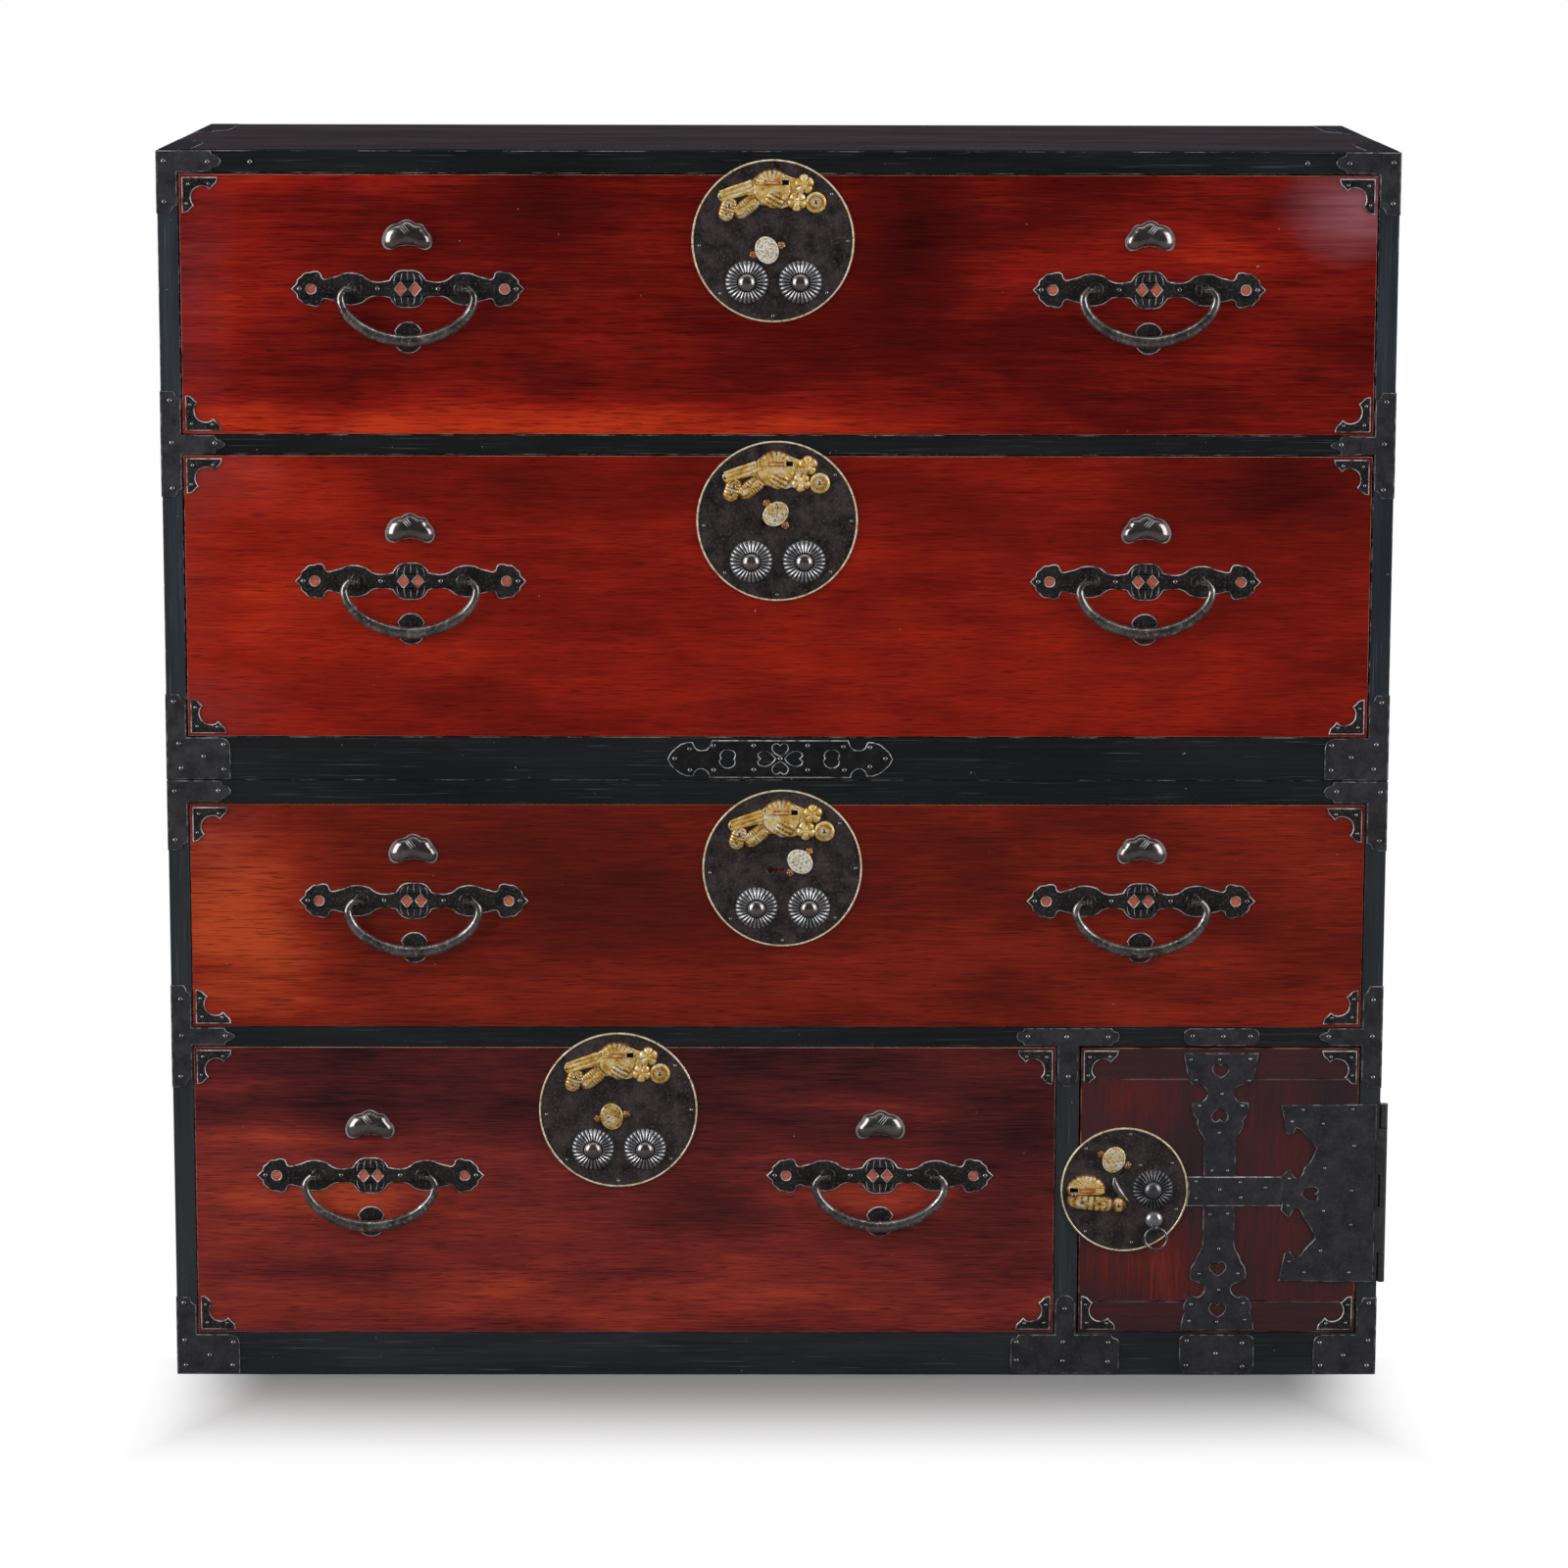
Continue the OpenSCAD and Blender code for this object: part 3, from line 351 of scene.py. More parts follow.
def chased(sectors, shares, reach, height, *metals, recess=lambda share, angle: 0.0, wall=0.3):
    """Domed or chased fitting, made from a filled circle that is raised and inset ring by ring.

    reach(angle) is its outline and height(share, angle) its relief in millimetres, where share is 1 at the outline
    and 0 in the middle. shares are where its rings lie, from the middle out. recess(share, angle), from 0 to 1, is
    kept on its points for the finish."""
    rings = len(shares)
    bpy.ops.mesh.primitive_circle_add(vertices=sectors, radius=1, fill_type="NGON")
    piece = bpy.context.object
    with edited(piece):
        bpy.ops.mesh.extrude_region_move(TRANSFORM_OT_translate={"value": (0, 0, 1)})
        for ring in range(rings):
            bpy.ops.mesh.inset(thickness=0.999 / (rings + 1) * math.cos(math.pi / sectors), depth=0)
        bpy.ops.mesh.poke()
    hollow = piece.data.attributes.new("recess", "FLOAT", "POINT")
    ring_shares = [0.0, *shares, 1.0]
    for vertex in piece.data.vertices:
        angle = math.atan2(vertex.co.y, vertex.co.x)
        ring = round(math.hypot(vertex.co.x, vertex.co.y) * (rings + 1))
        share = ring_shares[min(ring, rings + 1)]
        up = 0.0
        if vertex.co.z > 0.5:
            up = wall + height(share, angle)
            hollow.data[vertex.index].value = recess(share, angle)
        r = share * reach(angle) * MM
        vertex.co = (r * math.cos(angle), r * math.sin(angle), up * MM)
    piece.rotation_euler = (math.radians(90), 0, 0)
    settle(piece)
    outward(piece)
    smooth(piece, 50)
    return coat(piece, *metals)


def recoat(piece, reach, inner, outer):
    """Faces of a chased piece between two shares of its outline get its second material."""
    for face in piece.data.polygons:
        centre = face.center / MM
        share = math.hypot(centre.x, centre.z) / reach(math.atan2(centre.z, centre.x))
        if inner < share < outer and centre.y < -0.1:
            face.material_index = 1
    return piece


def reach_of(points, soft):
    """Reach at an angle of an outline given by points round the origin, with its corners softened."""
    polar = sorted((math.atan2(z, x), math.hypot(x, z)) for x, z in points)
    polar = [(polar[-1][0] - math.tau, polar[-1][1])] + polar + [(polar[0][0] + math.tau, polar[0][1])]

    def straight(angle):
        angle = (angle + math.pi) % math.tau - math.pi
        for (a, r), (b, s) in zip(polar, polar[1:]):
            if a <= angle <= b:
                return r + (s - r) * (angle - a) / (b - a)
        return polar[0][1]

    return lambda angle: (straight(angle - soft) + 2 * straight(angle) + straight(angle + soft)) / 4


def oblong(half, r, tilt):
    """Reach of an oblong with round ends, half long between the middle and an end's centre, tilted in degrees."""
    def reach(angle):
        along = abs(math.cos(angle - math.radians(tilt)))
        across = abs(math.sin(angle - math.radians(tilt)))
        if across * half > r * along:
            return r / across
        return half * along + math.sqrt(max(0.0, r * r - (half * across) ** 2))
    return reach


# Rods and bars

def rod(path, radii, metal, sides=3, closed=False):
    """Round rod along a path of points in millimetres, with a radius at each."""
    line = bpy.data.curves.new("rod", "CURVE")
    line.dimensions = "3D"
    line.bevel_depth = MM
    line.bevel_resolution = sides
    line.use_fill_caps = not closed
    spline = line.splines.new("POLY")
    spline.points.add(len(path) - 1)
    spline.use_cyclic_u = closed
    for point, place, radius in zip(spline.points, path, radii):
        point.co = (place[0] * MM, place[1] * MM, place[2] * MM, 1)
        point.radius = radius
    linked("rod", line)
    bpy.ops.object.convert(target="MESH")
    piece = bpy.context.object
    outward(piece)
    smooth(piece, 60)
    return coat(piece, metal)


def hoop(centre, r, wire, count, metal, sides=3, axis=1):
    """Closed ring of wire; it stands across the front, or lies along it where axis is 0."""
    path = []
    for k in range(count):
        place = list(centre)
        place[axis] += r * math.cos(k * math.tau / count)
        place[2] += r * math.sin(k * math.tau / count)
        path.append(place)
    return rod(path, [wire] * count, metal, sides, True)


def bar(low, high, ease, *metals):
    """Bar between two corners in millimetres with its edges eased; the eased faces get the second material."""
    bpy.ops.mesh.primitive_cube_add(size=1, location=[(a + b) / 2 * MM for a, b in zip(low, high)])
    piece = bpy.context.object
    piece.scale = [(b - a) * MM for a, b in zip(low, high)]
    settle(piece)
    coat(piece, metals[0], metals[-1])
    with edited(piece, "EDGE"):
        bpy.ops.mesh.bevel(offset=ease * MM, segments=1, material=1)
    return piece


def cut_away(piece, low, high):
    """Takes the space between two corners, in millimetres, out of a piece."""
    apply_modifier(piece, "BOOLEAN", operation="DIFFERENCE", object=bar(low, high, 0.05, None), solver="EXACT")
    return piece


# Finishes

def shade(code):
    """sRGB hex to linear colour."""
    parts = [int(code[i:i + 2], 16) / 255 for i in (1, 3, 5)]
    return tuple(c / 12.92 if c <= 0.04045 else ((c + 0.055) / 1.055) ** 2.4 for c in parts) + (1.0,)


def node(tree, kind, inputs=None, out=0, **settings):
    """Adds a node with its settings; inputs gives each socket a value, an sRGB hex code or a linked output."""
    new = tree.nodes.new("ShaderNode" + kind)
    for key, value in settings.items():
        setattr(new, key, value)
    for key, value in (inputs or {}).items():
        if isinstance(value, bpy.types.NodeSocket):
            tree.links.new(value, new.inputs[key])
        else:
            new.inputs[key].default_value = shade(value) if isinstance(value, str) else value
    return new.outputs[out]


def mixed(tree, share, low, high):
    """Mix of two colours."""
    return node(tree, "Mix", {0: share, 6: low, 7: high}, out=2, data_type="RGBA")


def blended(tree, share, low, high):
    """Mix of two numbers."""
    return node(tree, "Mix", {0: share, 2: low, 3: high}, data_type="FLOAT")


def scaled(tree, value, factor, plus=0.0):
    return node(tree, "Math", {0: value, 1: factor, 2: plus}, operation="MULTIPLY_ADD")


def maths(tree, operation, one, other=0.0, clamp=False):
    return node(tree, "Math", {0: one, 1: other}, operation=operation, use_clamp=clamp)


def span(tree, value, low, high, start=0.0, end=1.0, **settings):
    """A value's range from low to high becomes start to end."""
    return node(tree, "MapRange", {"Value": value, 1: low, 2: high, 3: start, 4: end}, **settings)


def ramp(tree, value, *stops):
    """Colour that a value picks between stops."""
    colour = node(tree, "ValToRGB", {"Fac": value})
    elements = colour.node.color_ramp.elements
    while len(elements) < len(stops):
        elements.new(0.5)
    for element, (at, code) in zip(elements, stops):
        element.position, element.color = at, shade(code)
    return colour


def blank(name, **sockets):
    """New material with uniform values on its shader: the material, its tree and its Object coordinates."""
    material = bpy.data.materials.new(name)
    material.use_nodes = True
    tree = material.node_tree
    for key, value in sockets.items():
        tree.nodes["Principled BSDF"].inputs[key.replace("_", " ")].default_value = value
    return material, tree, node(tree, "TexCoord", out="Object")


def connect(tree, colour, roughness=None, relief=None, deep=0.0):
    """Leads a finish's colour, roughness and relief, deep in millimetres, to the shader."""
    shader = tree.nodes["Principled BSDF"]
    tree.links.new(colour, shader.inputs["Base Color"])
    if roughness is not None:
        tree.links.new(roughness, shader.inputs["Roughness"])
    if relief is not None:
        bump = node(tree, "Bump", {"Height": relief, "Distance": deep * MM, "Strength": 1.0})
        tree.links.new(bump, shader.inputs["Normal"])


def brushed(tree, place, across, along, axis, seed, detail=3.0, rough=0.55):
    """Streaks that run along one axis: about across wide and along long, in millimetres."""
    scale = [1000 / across] * 3
    scale["XYZ".index(axis)] = 1000 / along
    run = node(tree, "Mapping", {"Vector": place, "Scale": scale, "Location": (seed, seed * 1.7, seed * 0.6)})
    return node(tree, "TexNoise", {"Vector": run, "Scale": 1.0, "Detail": detail, "Roughness": rough})


def mottled(tree, place, size, detail=3.0, rough=0.6):
    """Cloudy mottle of about a size in millimetres."""
    return node(tree, "TexNoise", {"Vector": place, "Scale": 1000 / size, "Detail": detail, "Roughness": rough})


def patches(tree, place, spots):
    """Soft spots that lighten or darken, each (x, z, half width, half height, amount) in millimetres, added up."""
    stray = (70, 70, 30)
    noise = node(tree, "TexNoise", {"Vector": place, "Scale": 9.0, "Detail": 2.0}, out="Color")
    place = node(tree, "VectorMath", {0: noise, 1: [part * MM for part in stray], 2: place}, operation="MULTIPLY_ADD")
    total = 0.0
    for x, z, half_w, half_h, amount in spots:
        x, z = x + stray[0] / 2, z + stray[2] / 2
        centred = node(tree, "Mapping", {"Vector": place, "Scale": (1000 / half_w, 0, 1000 / half_h),
                                         "Location": (-x / half_w, 0, -z / half_h)})
        spot = node(tree, "TexGradient", {"Vector": centred}, out="Fac", gradient_type="SPHERICAL")
        total = scaled(tree, spot, amount, total)
    return total


def red_lacquer(name, tones, axis, seed, spots=(), painted_sheen_spots=(), fine=0.55, broad=0.8):
    """Translucent lacquer brushed on fine-grained wood and rubbed down. The grain shows through as fine streaks:
    thick places are dark, thin ones glow vermilion and old knocks are pale. Spots make it lighter or darker in
    places, and a second list of spots lays a painted sheen on it: pale patches where a lamp's reflection lay.

    tones are the dark, usual, bright and thin red, and the colour of the painted sheen."""
    material, tree, place = blank(name, Specular_IOR_Level=0.3)
    dark, usual, bright, thin, painted_sheen_tone = tones
    grain = brushed(tree, place, 1.1, 42, axis, seed, rough=0.65)
    band = brushed(tree, place, 5, 110, axis, seed + 3)
    cloud = brushed(tree, place, 48, 130, axis, seed + 7)
    tone = scaled(tree, grain, fine, 0.5 - fine / 2 - broad * 0.54)
    tone = scaled(tree, band, broad * 0.3, tone)
    tone = scaled(tree, cloud, broad * 0.78, tone)
    if spots:
        tone = maths(tree, "ADD", tone, patches(tree, place, spots))
    colour = ramp(tree, tone, (0.14, dark), (0.48, usual), (0.74, bright), (1.0, thin))
    # open pores, 0.8 mm wide and 1 to 2 cm long, hold darker lacquer
    pore = span(tree, brushed(tree, place, 0.8, 18, axis, seed + 11, 1, 0.4), 0.58, 0.68, end=0.6)
    colour = mixed(tree, pore, colour, dark)
    rough = 0.2
    # painted sheen: pale patches where a lamp's reflection lay are mixed into the colour, and the lacquer is rougher
    # there
    if painted_sheen_spots:
        bloom = maths(tree, "MULTIPLY", patches(tree, place, painted_sheen_spots), band, True)
        colour = mixed(tree, bloom, colour, painted_sheen_tone)
        rough = scaled(tree, bloom, 0.25, rough)
    # knocks through to the pale ground, 1 to 3 mm
    knock = span(tree, mottled(tree, place, 5.5, 2.0, 0.5), 0.785, 0.81, end=0.7)
    colour = mixed(tree, knock, colour, "#b98a7c")
    connect(tree, colour, scaled(tree, band, 0.16, rough), grain, 0.04)
    return material


def rubbed_edge(name, ground, bare, axis, seed, cover=0.5, gloss=0.2):
    """Eased edge of a lacquered board, rubbed through in stretches to the ground under the colour."""
    material, tree, place = blank(name, Roughness=0.45, Specular_IOR_Level=gloss)
    rub = span(tree, brushed(tree, place, 12, 34, axis, seed, 4, 0.7), cover - 0.08, cover + 0.08)
    connect(tree, mixed(tree, rub, ground, bare), relief=rub, deep=0.08)
    return material


def black_lacquer(name, tones, axis, seed, rough=0.3, gloss=0.5):
    """Black lacquer, brushed on: a faint blue cast, a long brush grain, thin grey scratches and a few chips.

    tones are the deep and the usual black, and the scratches."""
    material, tree, place = blank(name, Specular_IOR_Level=gloss)
    grain = brushed(tree, place, 2.2, 140, axis, seed, rough=0.6)
    cloud = brushed(tree, place, 36, 150, axis, seed + 5, rough=0.5)
    colour = ramp(tree, blended(tree, 0.5, grain, cloud), (0.36, tones[0]), (0.64, tones[1]))
    scratch = span(tree, brushed(tree, place, 0.8, 70, axis, seed + 9, 2, 0.5), 0.66, 0.74, end=0.6)
    colour = mixed(tree, scratch, colour, tones[2])
    # chips, 1 to 3 mm, down to the grey ground
    chip = span(tree, mottled(tree, place, 5.0, 2.0), 0.755, 0.785, end=0.8)
    colour = mixed(tree, chip, colour, "#8d8680")
    connect(tree, colour, scaled(tree, cloud, 0.3, rough - 0.1), grain, 0.05)
    return material


def forged_iron(name, tones, rough, metallic, grit=1.5, deep=0.02, spots=0.2, gloss=0.5):
    """Iron, hammered out and blackened in the fire: dark and mottled, with light specks where the scale has gone.

    tones are the deep and the usual iron, and the specks."""
    material, tree, place = blank(name, Metallic=metallic, Specular_IOR_Level=gloss)
    mottle = mottled(tree, place, 12, 5.0)
    colour = ramp(tree, mottle, (0.34, tones[0]), (0.66, tones[1]))
    speck = mottled(tree, place, grit * 2.2, 1.0)
    colour = mixed(tree, span(tree, speck, 0.55, 0.74, end=spots), colour, tones[2])
    hollow = node(tree, "Attribute", out="Fac", attribute_name="recess")
    colour = mixed(tree, hollow, colour, "#0c0a0a")
    satin = scaled(tree, mottle, 0.35, rough - 0.17)
    connect(tree, colour, satin, blended(tree, 0.35, mottle, speck), deep)
    return material


def rubbed_iron(name, dull, bright, rough, cover):
    """Edges and heads of iron that hands and cloths have rubbed bright, in stretches; their light colour is also a
    painted highlight along the edges that catch the light.
    """
    material, tree, place = blank(name, Metallic=0.2, Roughness=rough)
    rub = span(tree, mottled(tree, place, 9), cover - 0.1, cover + 0.1)
    connect(tree, mixed(tree, rub, dull, bright), relief=rub, deep=0.05)
    return material


def gilt_metal(name, tones, rough, grit=1.9, deep=0.2, metallic=0.3):
    """Brass, chased and fire-gilt: a play of pale and deep gold, with red-brown dirt left in the hollows.

    tones are the deep, usual and pale gold, and the dirt."""
    material, tree, place = blank(name, Metallic=metallic)
    play = mottled(tree, place, 7, 4.0)
    colour = ramp(tree, play, (0.32, tones[0]), (0.5, tones[1]), (0.68, tones[2]))
    chasing = mottled(tree, place, grit, 2.0)
    hollow = node(tree, "Attribute", out="Fac", attribute_name="recess")
    dirt = maths(tree, "ADD", hollow, span(tree, chasing, 0.55, 0.68, end=0.7), True)
    colour = mixed(tree, dirt, colour, tones[3])
    connect(tree, colour, scaled(tree, dirt, 0.25, rough), chasing, deep)
    return material


def plain_wood(name, tones, axis, seed, rough=0.62):
    """Planed softwood without a finish: pale, with a straight grain about 3 mm apart and a dry surface."""
    material, tree, place = blank(name, Roughness=rough)
    grain = brushed(tree, place, 3.0, 240, axis, seed, 4, 0.6)
    ring = brushed(tree, place, 14, 500, axis, seed + 2, 2, 0.5)
    colour = ramp(tree, blended(tree, 0.45, grain, ring), (0.34, tones[0]), (0.5, tones[1]), (0.66, tones[2]))
    connect(tree, colour, relief=grain, deep=0.1)
    return material


# Red lacquer of the drawers and the door; places of the spots are from the middle of the chest and the floor.
# The drawers' second lists, and the spots at the left ends in their first lists, are painted sheen: pale patches
# where a lamp's reflection lay, at the left ends and by the top drawer's top right corner. The other spots make
# the fronts lighter along their bottoms and lighter or darker in places.
reds = {
    "top_drawer": red_lacquer(
        "brushed_red_lacquer_top_drawer", ("#300202", "#600701", "#941607", "#c8360c", "#94505a"), "X", 1.0,
        [(-470, 915, 110, 170, 0.24), (-250, 843, 360, 36, 0.5), (60, 845, 330, 36, 0.26), (380, 985, 220, 90, 0.22),
         (-190, 1050, 90, 60, -0.16), (115, 990, 60, 110, -0.26), (-146, 890, 120, 60, 0.08),
         (-317, 905, 120, 30, 0.12), (430, 860, 110, 60, 0.14), (-420, 1055, 160, 20, 0.28), (470, 925, 90, 60, -0.1)],
        [(-508, 960, 50, 150, 0.25), (492, 1033, 66, 52, 2.3)]),
    "second_drawer": red_lacquer(
        "brushed_red_lacquer_second_drawer", ("#420402", "#7c1103", "#a8210a", "#d04412", "#7c4244"), "X", 2.3,
        [(-440, 690, 160, 150, 0.27), (-460, 800, 120, 60, 0.26), (430, 790, 150, 90, -0.36),
         (-317, 650, 160, 40, 0.18), (320, 650, 200, 40, 0.1), (460, 660, 80, 80, -0.06), (0, 640, 600, 110, 0.12),
         (170, 720, 60, 90, -0.08), (-150, 800, 330, 36, -0.14)],
        [(-495, 805, 90, 60, 0.5), (-495, 590, 90, 50, 0.35), (-508, 700, 40, 160, 0.2)]),
    "third_drawer": red_lacquer(
        "brushed_red_lacquer_third_drawer", ("#3c0a06", "#661508", "#8e240f", "#bd4620", "#7c4844"), "X", 3.9,
        [(-480, 415, 120, 120, 0.6), (-330, 335, 260, 30, 0.24), (-130, 440, 110, 60, -0.22),
         (-120, 360, 200, 50, 0.16), (317, 385, 170, 40, 0.24), (380, 330, 260, 30, 0.14), (430, 480, 190, 70, 0.24),
         (120, 370, 180, 60, 0.12)],
        [(-500, 480, 70, 70, 0.3)]),
    "bottom_drawer": red_lacquer(
        "brushed_maroon_lacquer_bottom_drawer", ("#240d10", "#642020", "#903026", "#bc4729", "#6e4444"), "X", 5.2,
        [(-134, 285, 900, 90, -0.28), (-134, 130, 700, 110, 0.1), (-470, 160, 110, 130, 0.22),
         (210, 160, 90, 140, -0.2), (-358, 165, 150, 34, 0.34), (90, 165, 150, 34, 0.26), (-134, 62, 800, 34, 0.26),
         (-420, 245, 130, 24, -0.24),
         (-60, 150, 110, 30, -0.18), (-440, 215, 120, 12, 0.2), (-470, 262, 120, 12, 0.18), (40, 245, 120, 12, 0.18)],
        fine=0.7, broad=0.9)}
door_red = red_lacquer(
    "brushed_maroon_lacquer_door", ("#2c2428", "#3e2629", "#5e2422", "#883024", "#5c4446"), "Z", 6.6,
    [(310, 250, 60, 50, 0.22), (330, 100, 60, 60, 0.34), (440, 170, 50, 110, 0.1), (320, 180, 130, 40, -0.2),
     (490, 200, 30, 150, -0.3)], fine=0.6, broad=0.9)
clamp_red = red_lacquer(
    "brushed_maroon_lacquer_door_clamps", ("#2c2428", "#3e2629", "#5e2624", "#883024", "#5c4446"), "X", 7.7,
    [(330, 52, 120, 20, 0.14)], fine=0.6, broad=0.9)
red_edge = rubbed_edge("rubbed_edge_of_red_boards", "#6a2014", "#c89484", "X", 1.5, 0.46)
door_edge = rubbed_edge("rubbed_edge_of_door", "#4c1c14", "#96583c", "X", 2.5, 0.54)
clamp_line = rubbed_edge("rubbed_joint_of_door_clamps", "#34201f", "#6a5552", "X", 3.5)
# paler vermilion behind the openings of the handle plates
pale_red_in_openings = red_lacquer("pale_vermilion_lacquer_in_openings", ("#a04830", "#c0604a", "#d87c60", "#e08c70", "#8a4a44"), "X", 8.1)

# Black lacquer: the brush ran along each board
rail_black = black_lacquer("black_lacquer_rails", ("#0c0f11", "#181c1f", "#565c62"), "X", 0.4)
stile_black = black_lacquer("black_lacquer_stiles", ("#23282e", "#363d46", "#6a7078"), "Z", 0.9)
low_stile_black = black_lacquer("black_lacquer_lower_stiles", ("#212529", "#31363b", "#62676c"), "Z", 1.4)
side_black = black_lacquer("black_lacquer_sides", ("#131416", "#222427", "#54565a"), "Z", 1.9, 0.4)
top_brown = black_lacquer("brown_black_lacquer_top", ("#262223", "#383236", "#5a5052"), "X", 2.9, 0.66, 0.0)
base_black = black_lacquer("black_lacquer_lowest_rail", ("#181b1f", "#282c31", "#686d72"), "X", 2.2)
top_edge_black = black_lacquer(
    "black_lacquer_front_edge_of_top", ("#141618", "#22262a", "#565c62"), "X", 0.6, 0.7, 0.0)
frame_edge = rubbed_edge("chipped_edge_of_black_lacquer", "#15171a", "#85807c", "X", 0.7, 0.57)

# Softwood without a finish
CASE_TONES = ("#775a3e", "#94734f", "#a98760")
BOX_TONES = ("#8b6a49", "#ab895e", "#bf9a70")
back_wood = plain_wood("planed_cedar_back", ("#4a3322", "#684a32", "#7c5d41"), "Z", 3.1, 0.7)
case_wood = plain_wood("planed_paulownia_case_boards", CASE_TONES, "X", 4.2)
upright_wood = plain_wood("planed_paulownia_case_sides", CASE_TONES, "Z", 4.4)
drawer_wood = plain_wood("planed_paulownia_drawer_boxes", BOX_TONES, "Y", 4.8)
cross_wood = plain_wood("planed_paulownia_drawer_cross_boards", BOX_TONES, "X", 5.0)

# Iron
plate_iron = forged_iron(
    "blackened_iron_lock_plates", ("#2a2223", "#524848", "#7c7577"), 0.38, 0.5, 1.0, 0.05, 0.4)
cut_iron = forged_iron("blackened_iron_handle_plates", ("#221f1f", "#383433", "#8a8684"), 0.36, 0.5, 1.0, 0.06, 0.4)
strap_iron = forged_iron("blackened_iron_straps", ("#2f2e32", "#424045", "#636267"), 0.42, 0.4, 1.2, 0.04, 0.25)
bail_iron = forged_iron("hammered_iron_bails", ("#5c5754", "#96928f", "#eceae8"), 0.23, 0.82, 1.6, 0.13, 0.5)
flute_iron = forged_iron("polished_iron_flutes", ("#98989c", "#b8b8bc", "#eeeef0"), 0.22, 0.75)
door_flute_iron = forged_iron("grey_iron_flutes", ("#4c4c50", "#68686c", "#a4a4a6"), 0.26, 0.5)
door_dome_iron = forged_iron(
    "polished_grey_iron_domes", ("#6a686c", "#868488", "#a8a6a8"), 0.24, 0.8, deep=0.01, spots=0.1)
dome_iron = forged_iron("polished_iron_domes", ("#8e8886", "#a49e9c", "#b8b2b0"), 0.15, 0.92, deep=0.01, spots=0.1)
bean_iron = forged_iron("polished_iron_bean_bosses", ("#7c7674", "#98928f", "#b0aaa8"), 0.16, 0.92, 1.3, 0.02, 0.15)
nail_iron = forged_iron("rubbed_iron_nail_heads", ("#747478", "#9c9ca0", "#e2e2e4"), 0.22, 0.9, 1.0, 0.02, 0.3)
top_iron = forged_iron(
    "blackened_iron_straps_on_top", ("#1e1d20", "#302f33", "#4a4a4e"), 0.6, 0.0, 1.2, 0.04, 0.25, 0.0)
rail_iron = forged_iron("black_iron_of_rail_ornament", ("#161617", "#262628", "#4c4c50"), 0.42, 0.4, 1.2, 0.04)
inner_iron = forged_iron("bare_iron_lock_works", ("#4a4744", "#666260", "#8c8886"), 0.42, 0.9, 1.4, 0.05, 0.3)
top_iron_edge = rubbed_edge("rubbed_edge_of_top_straps", "#3c3b3f", "#77767a", "Y", 1.1, gloss=0.0)
# light edge metals: rubbed bright, and a painted highlight along the edges and rims that catch the light
bright_edge = rubbed_iron("rubbed_and_sheen_painted_iron_edges", "#4c4a4c", "#c6c4c6", 0.32, 0.47)
strap_edge = rubbed_iron("rubbed_and_sheen_painted_strap_edges", "#303034", "#8c8c90", 0.36, 0.54)
bean_edge = rubbed_iron("rubbed_and_sheen_painted_boss_edges", "#706e70", "#a8a6a8", 0.34, 0.46)
CUT = (cut_iron, bright_edge)
STRAP = (strap_iron, strap_edge)

# Gilt brass and copper
gilt = gilt_metal("gilt_brass_ornaments", ("#ca922e", "#f6ce76", "#fff4d0", "#5c2408"), 0.25, 1.3)
warm_gilt = gilt_metal("deep_gilt_key_covers", ("#b07a28", "#eac670", "#fff8dc", "#5c2408"), 0.22)
pale_gilt = gilt_metal("pale_gilt_key_covers", ("#e6dcb8", "#f6f1e2", "#fffef8", "#846a30"), 0.26, metallic=0.1)
half_pale_gilt = gilt_metal("worn_gilt_key_covers", ("#d8b870", "#f0e0b4", "#fffaec", "#7c4c1c"), 0.26, metallic=0.2)
rim_brass = gilt_metal("pale_brass_rims", ("#caa870", "#f0dfbc", "#fffaf0", "#7a5c34"), 0.3, 3.0, 0.03)
rosette_copper = gilt_metal("copper_rosettes", ("#8a4c26", "#b87642", "#dba468", "#4a2414"), 0.36, 1.6, 0.1, 0.5)
tab_copper = gilt_metal("copper_lock_tabs", ("#b8542e", "#d87a4c", "#efa27a", "#5a2614"), 0.38, 2.4, 0.04, 0.5)


# Patterns of the small fittings, each made once and copied

def on_front(pattern, x=0.0, z=0.0, out=0.0, **turns):
    """A copy on the drawers' faces, out millimetres in front of them."""
    return copied(pattern, x, z, FACE_Y - out, **turns)


nail = chased(12, gathered(2), disc(2.1), domed(1.1), nail_iron, wall=0.1)
small_nail = chased(10, gathered(2), disc(1.55), domed(1.0), nail_iron, wall=0.1)

HANDLE_QUARTER = [
    (0, 16.1, 1), (8.5, 15.2, 1), (12.8, 11.8, 1), (15.6, 7.6), (20.5, 6.6, 1), (27, 6.2, 1), (33, 7.8, 1),
    (38.5, 11.8), (45, 13.6, 1), (50.4, 13.9, 1), (55.5, 13.2), (60, 11.2, 1), (66, 9.6, 1), (71.8, 8.7, 1),
    (73.4, 10.2), (75.2, 14.2, 1), (79.5, 15.2, 1), (83.3, 14.2), (88, 13.6, 1), (91, 10.8), (94.2, 8, 1),
    (94.9, 4.8), (99.8, 0)]
BEAN = [
    (-22, -5.3), (-20.2, 1.9), (-15, 8), (-8, 9.7), (0.2, 13.4), (7.3, 9.7), (13.1, 9.2), (16.7, 3.2),
    (20.2, -0.5), (21.6, -6), (19, -11.9), (13.1, -12.6), (7.3, -9), (0.2, -8.3), (-6.8, -9), (-13.9, -12.6),
    (-19.7, -11.4)]
STRIKE_QUARTER = [(0, 13.6, 1), (5.5, 12.4, 1), (9.5, 9.2, 1), (11.8, 5.5), (10, 2, 1), (9.4, 0, 1)]
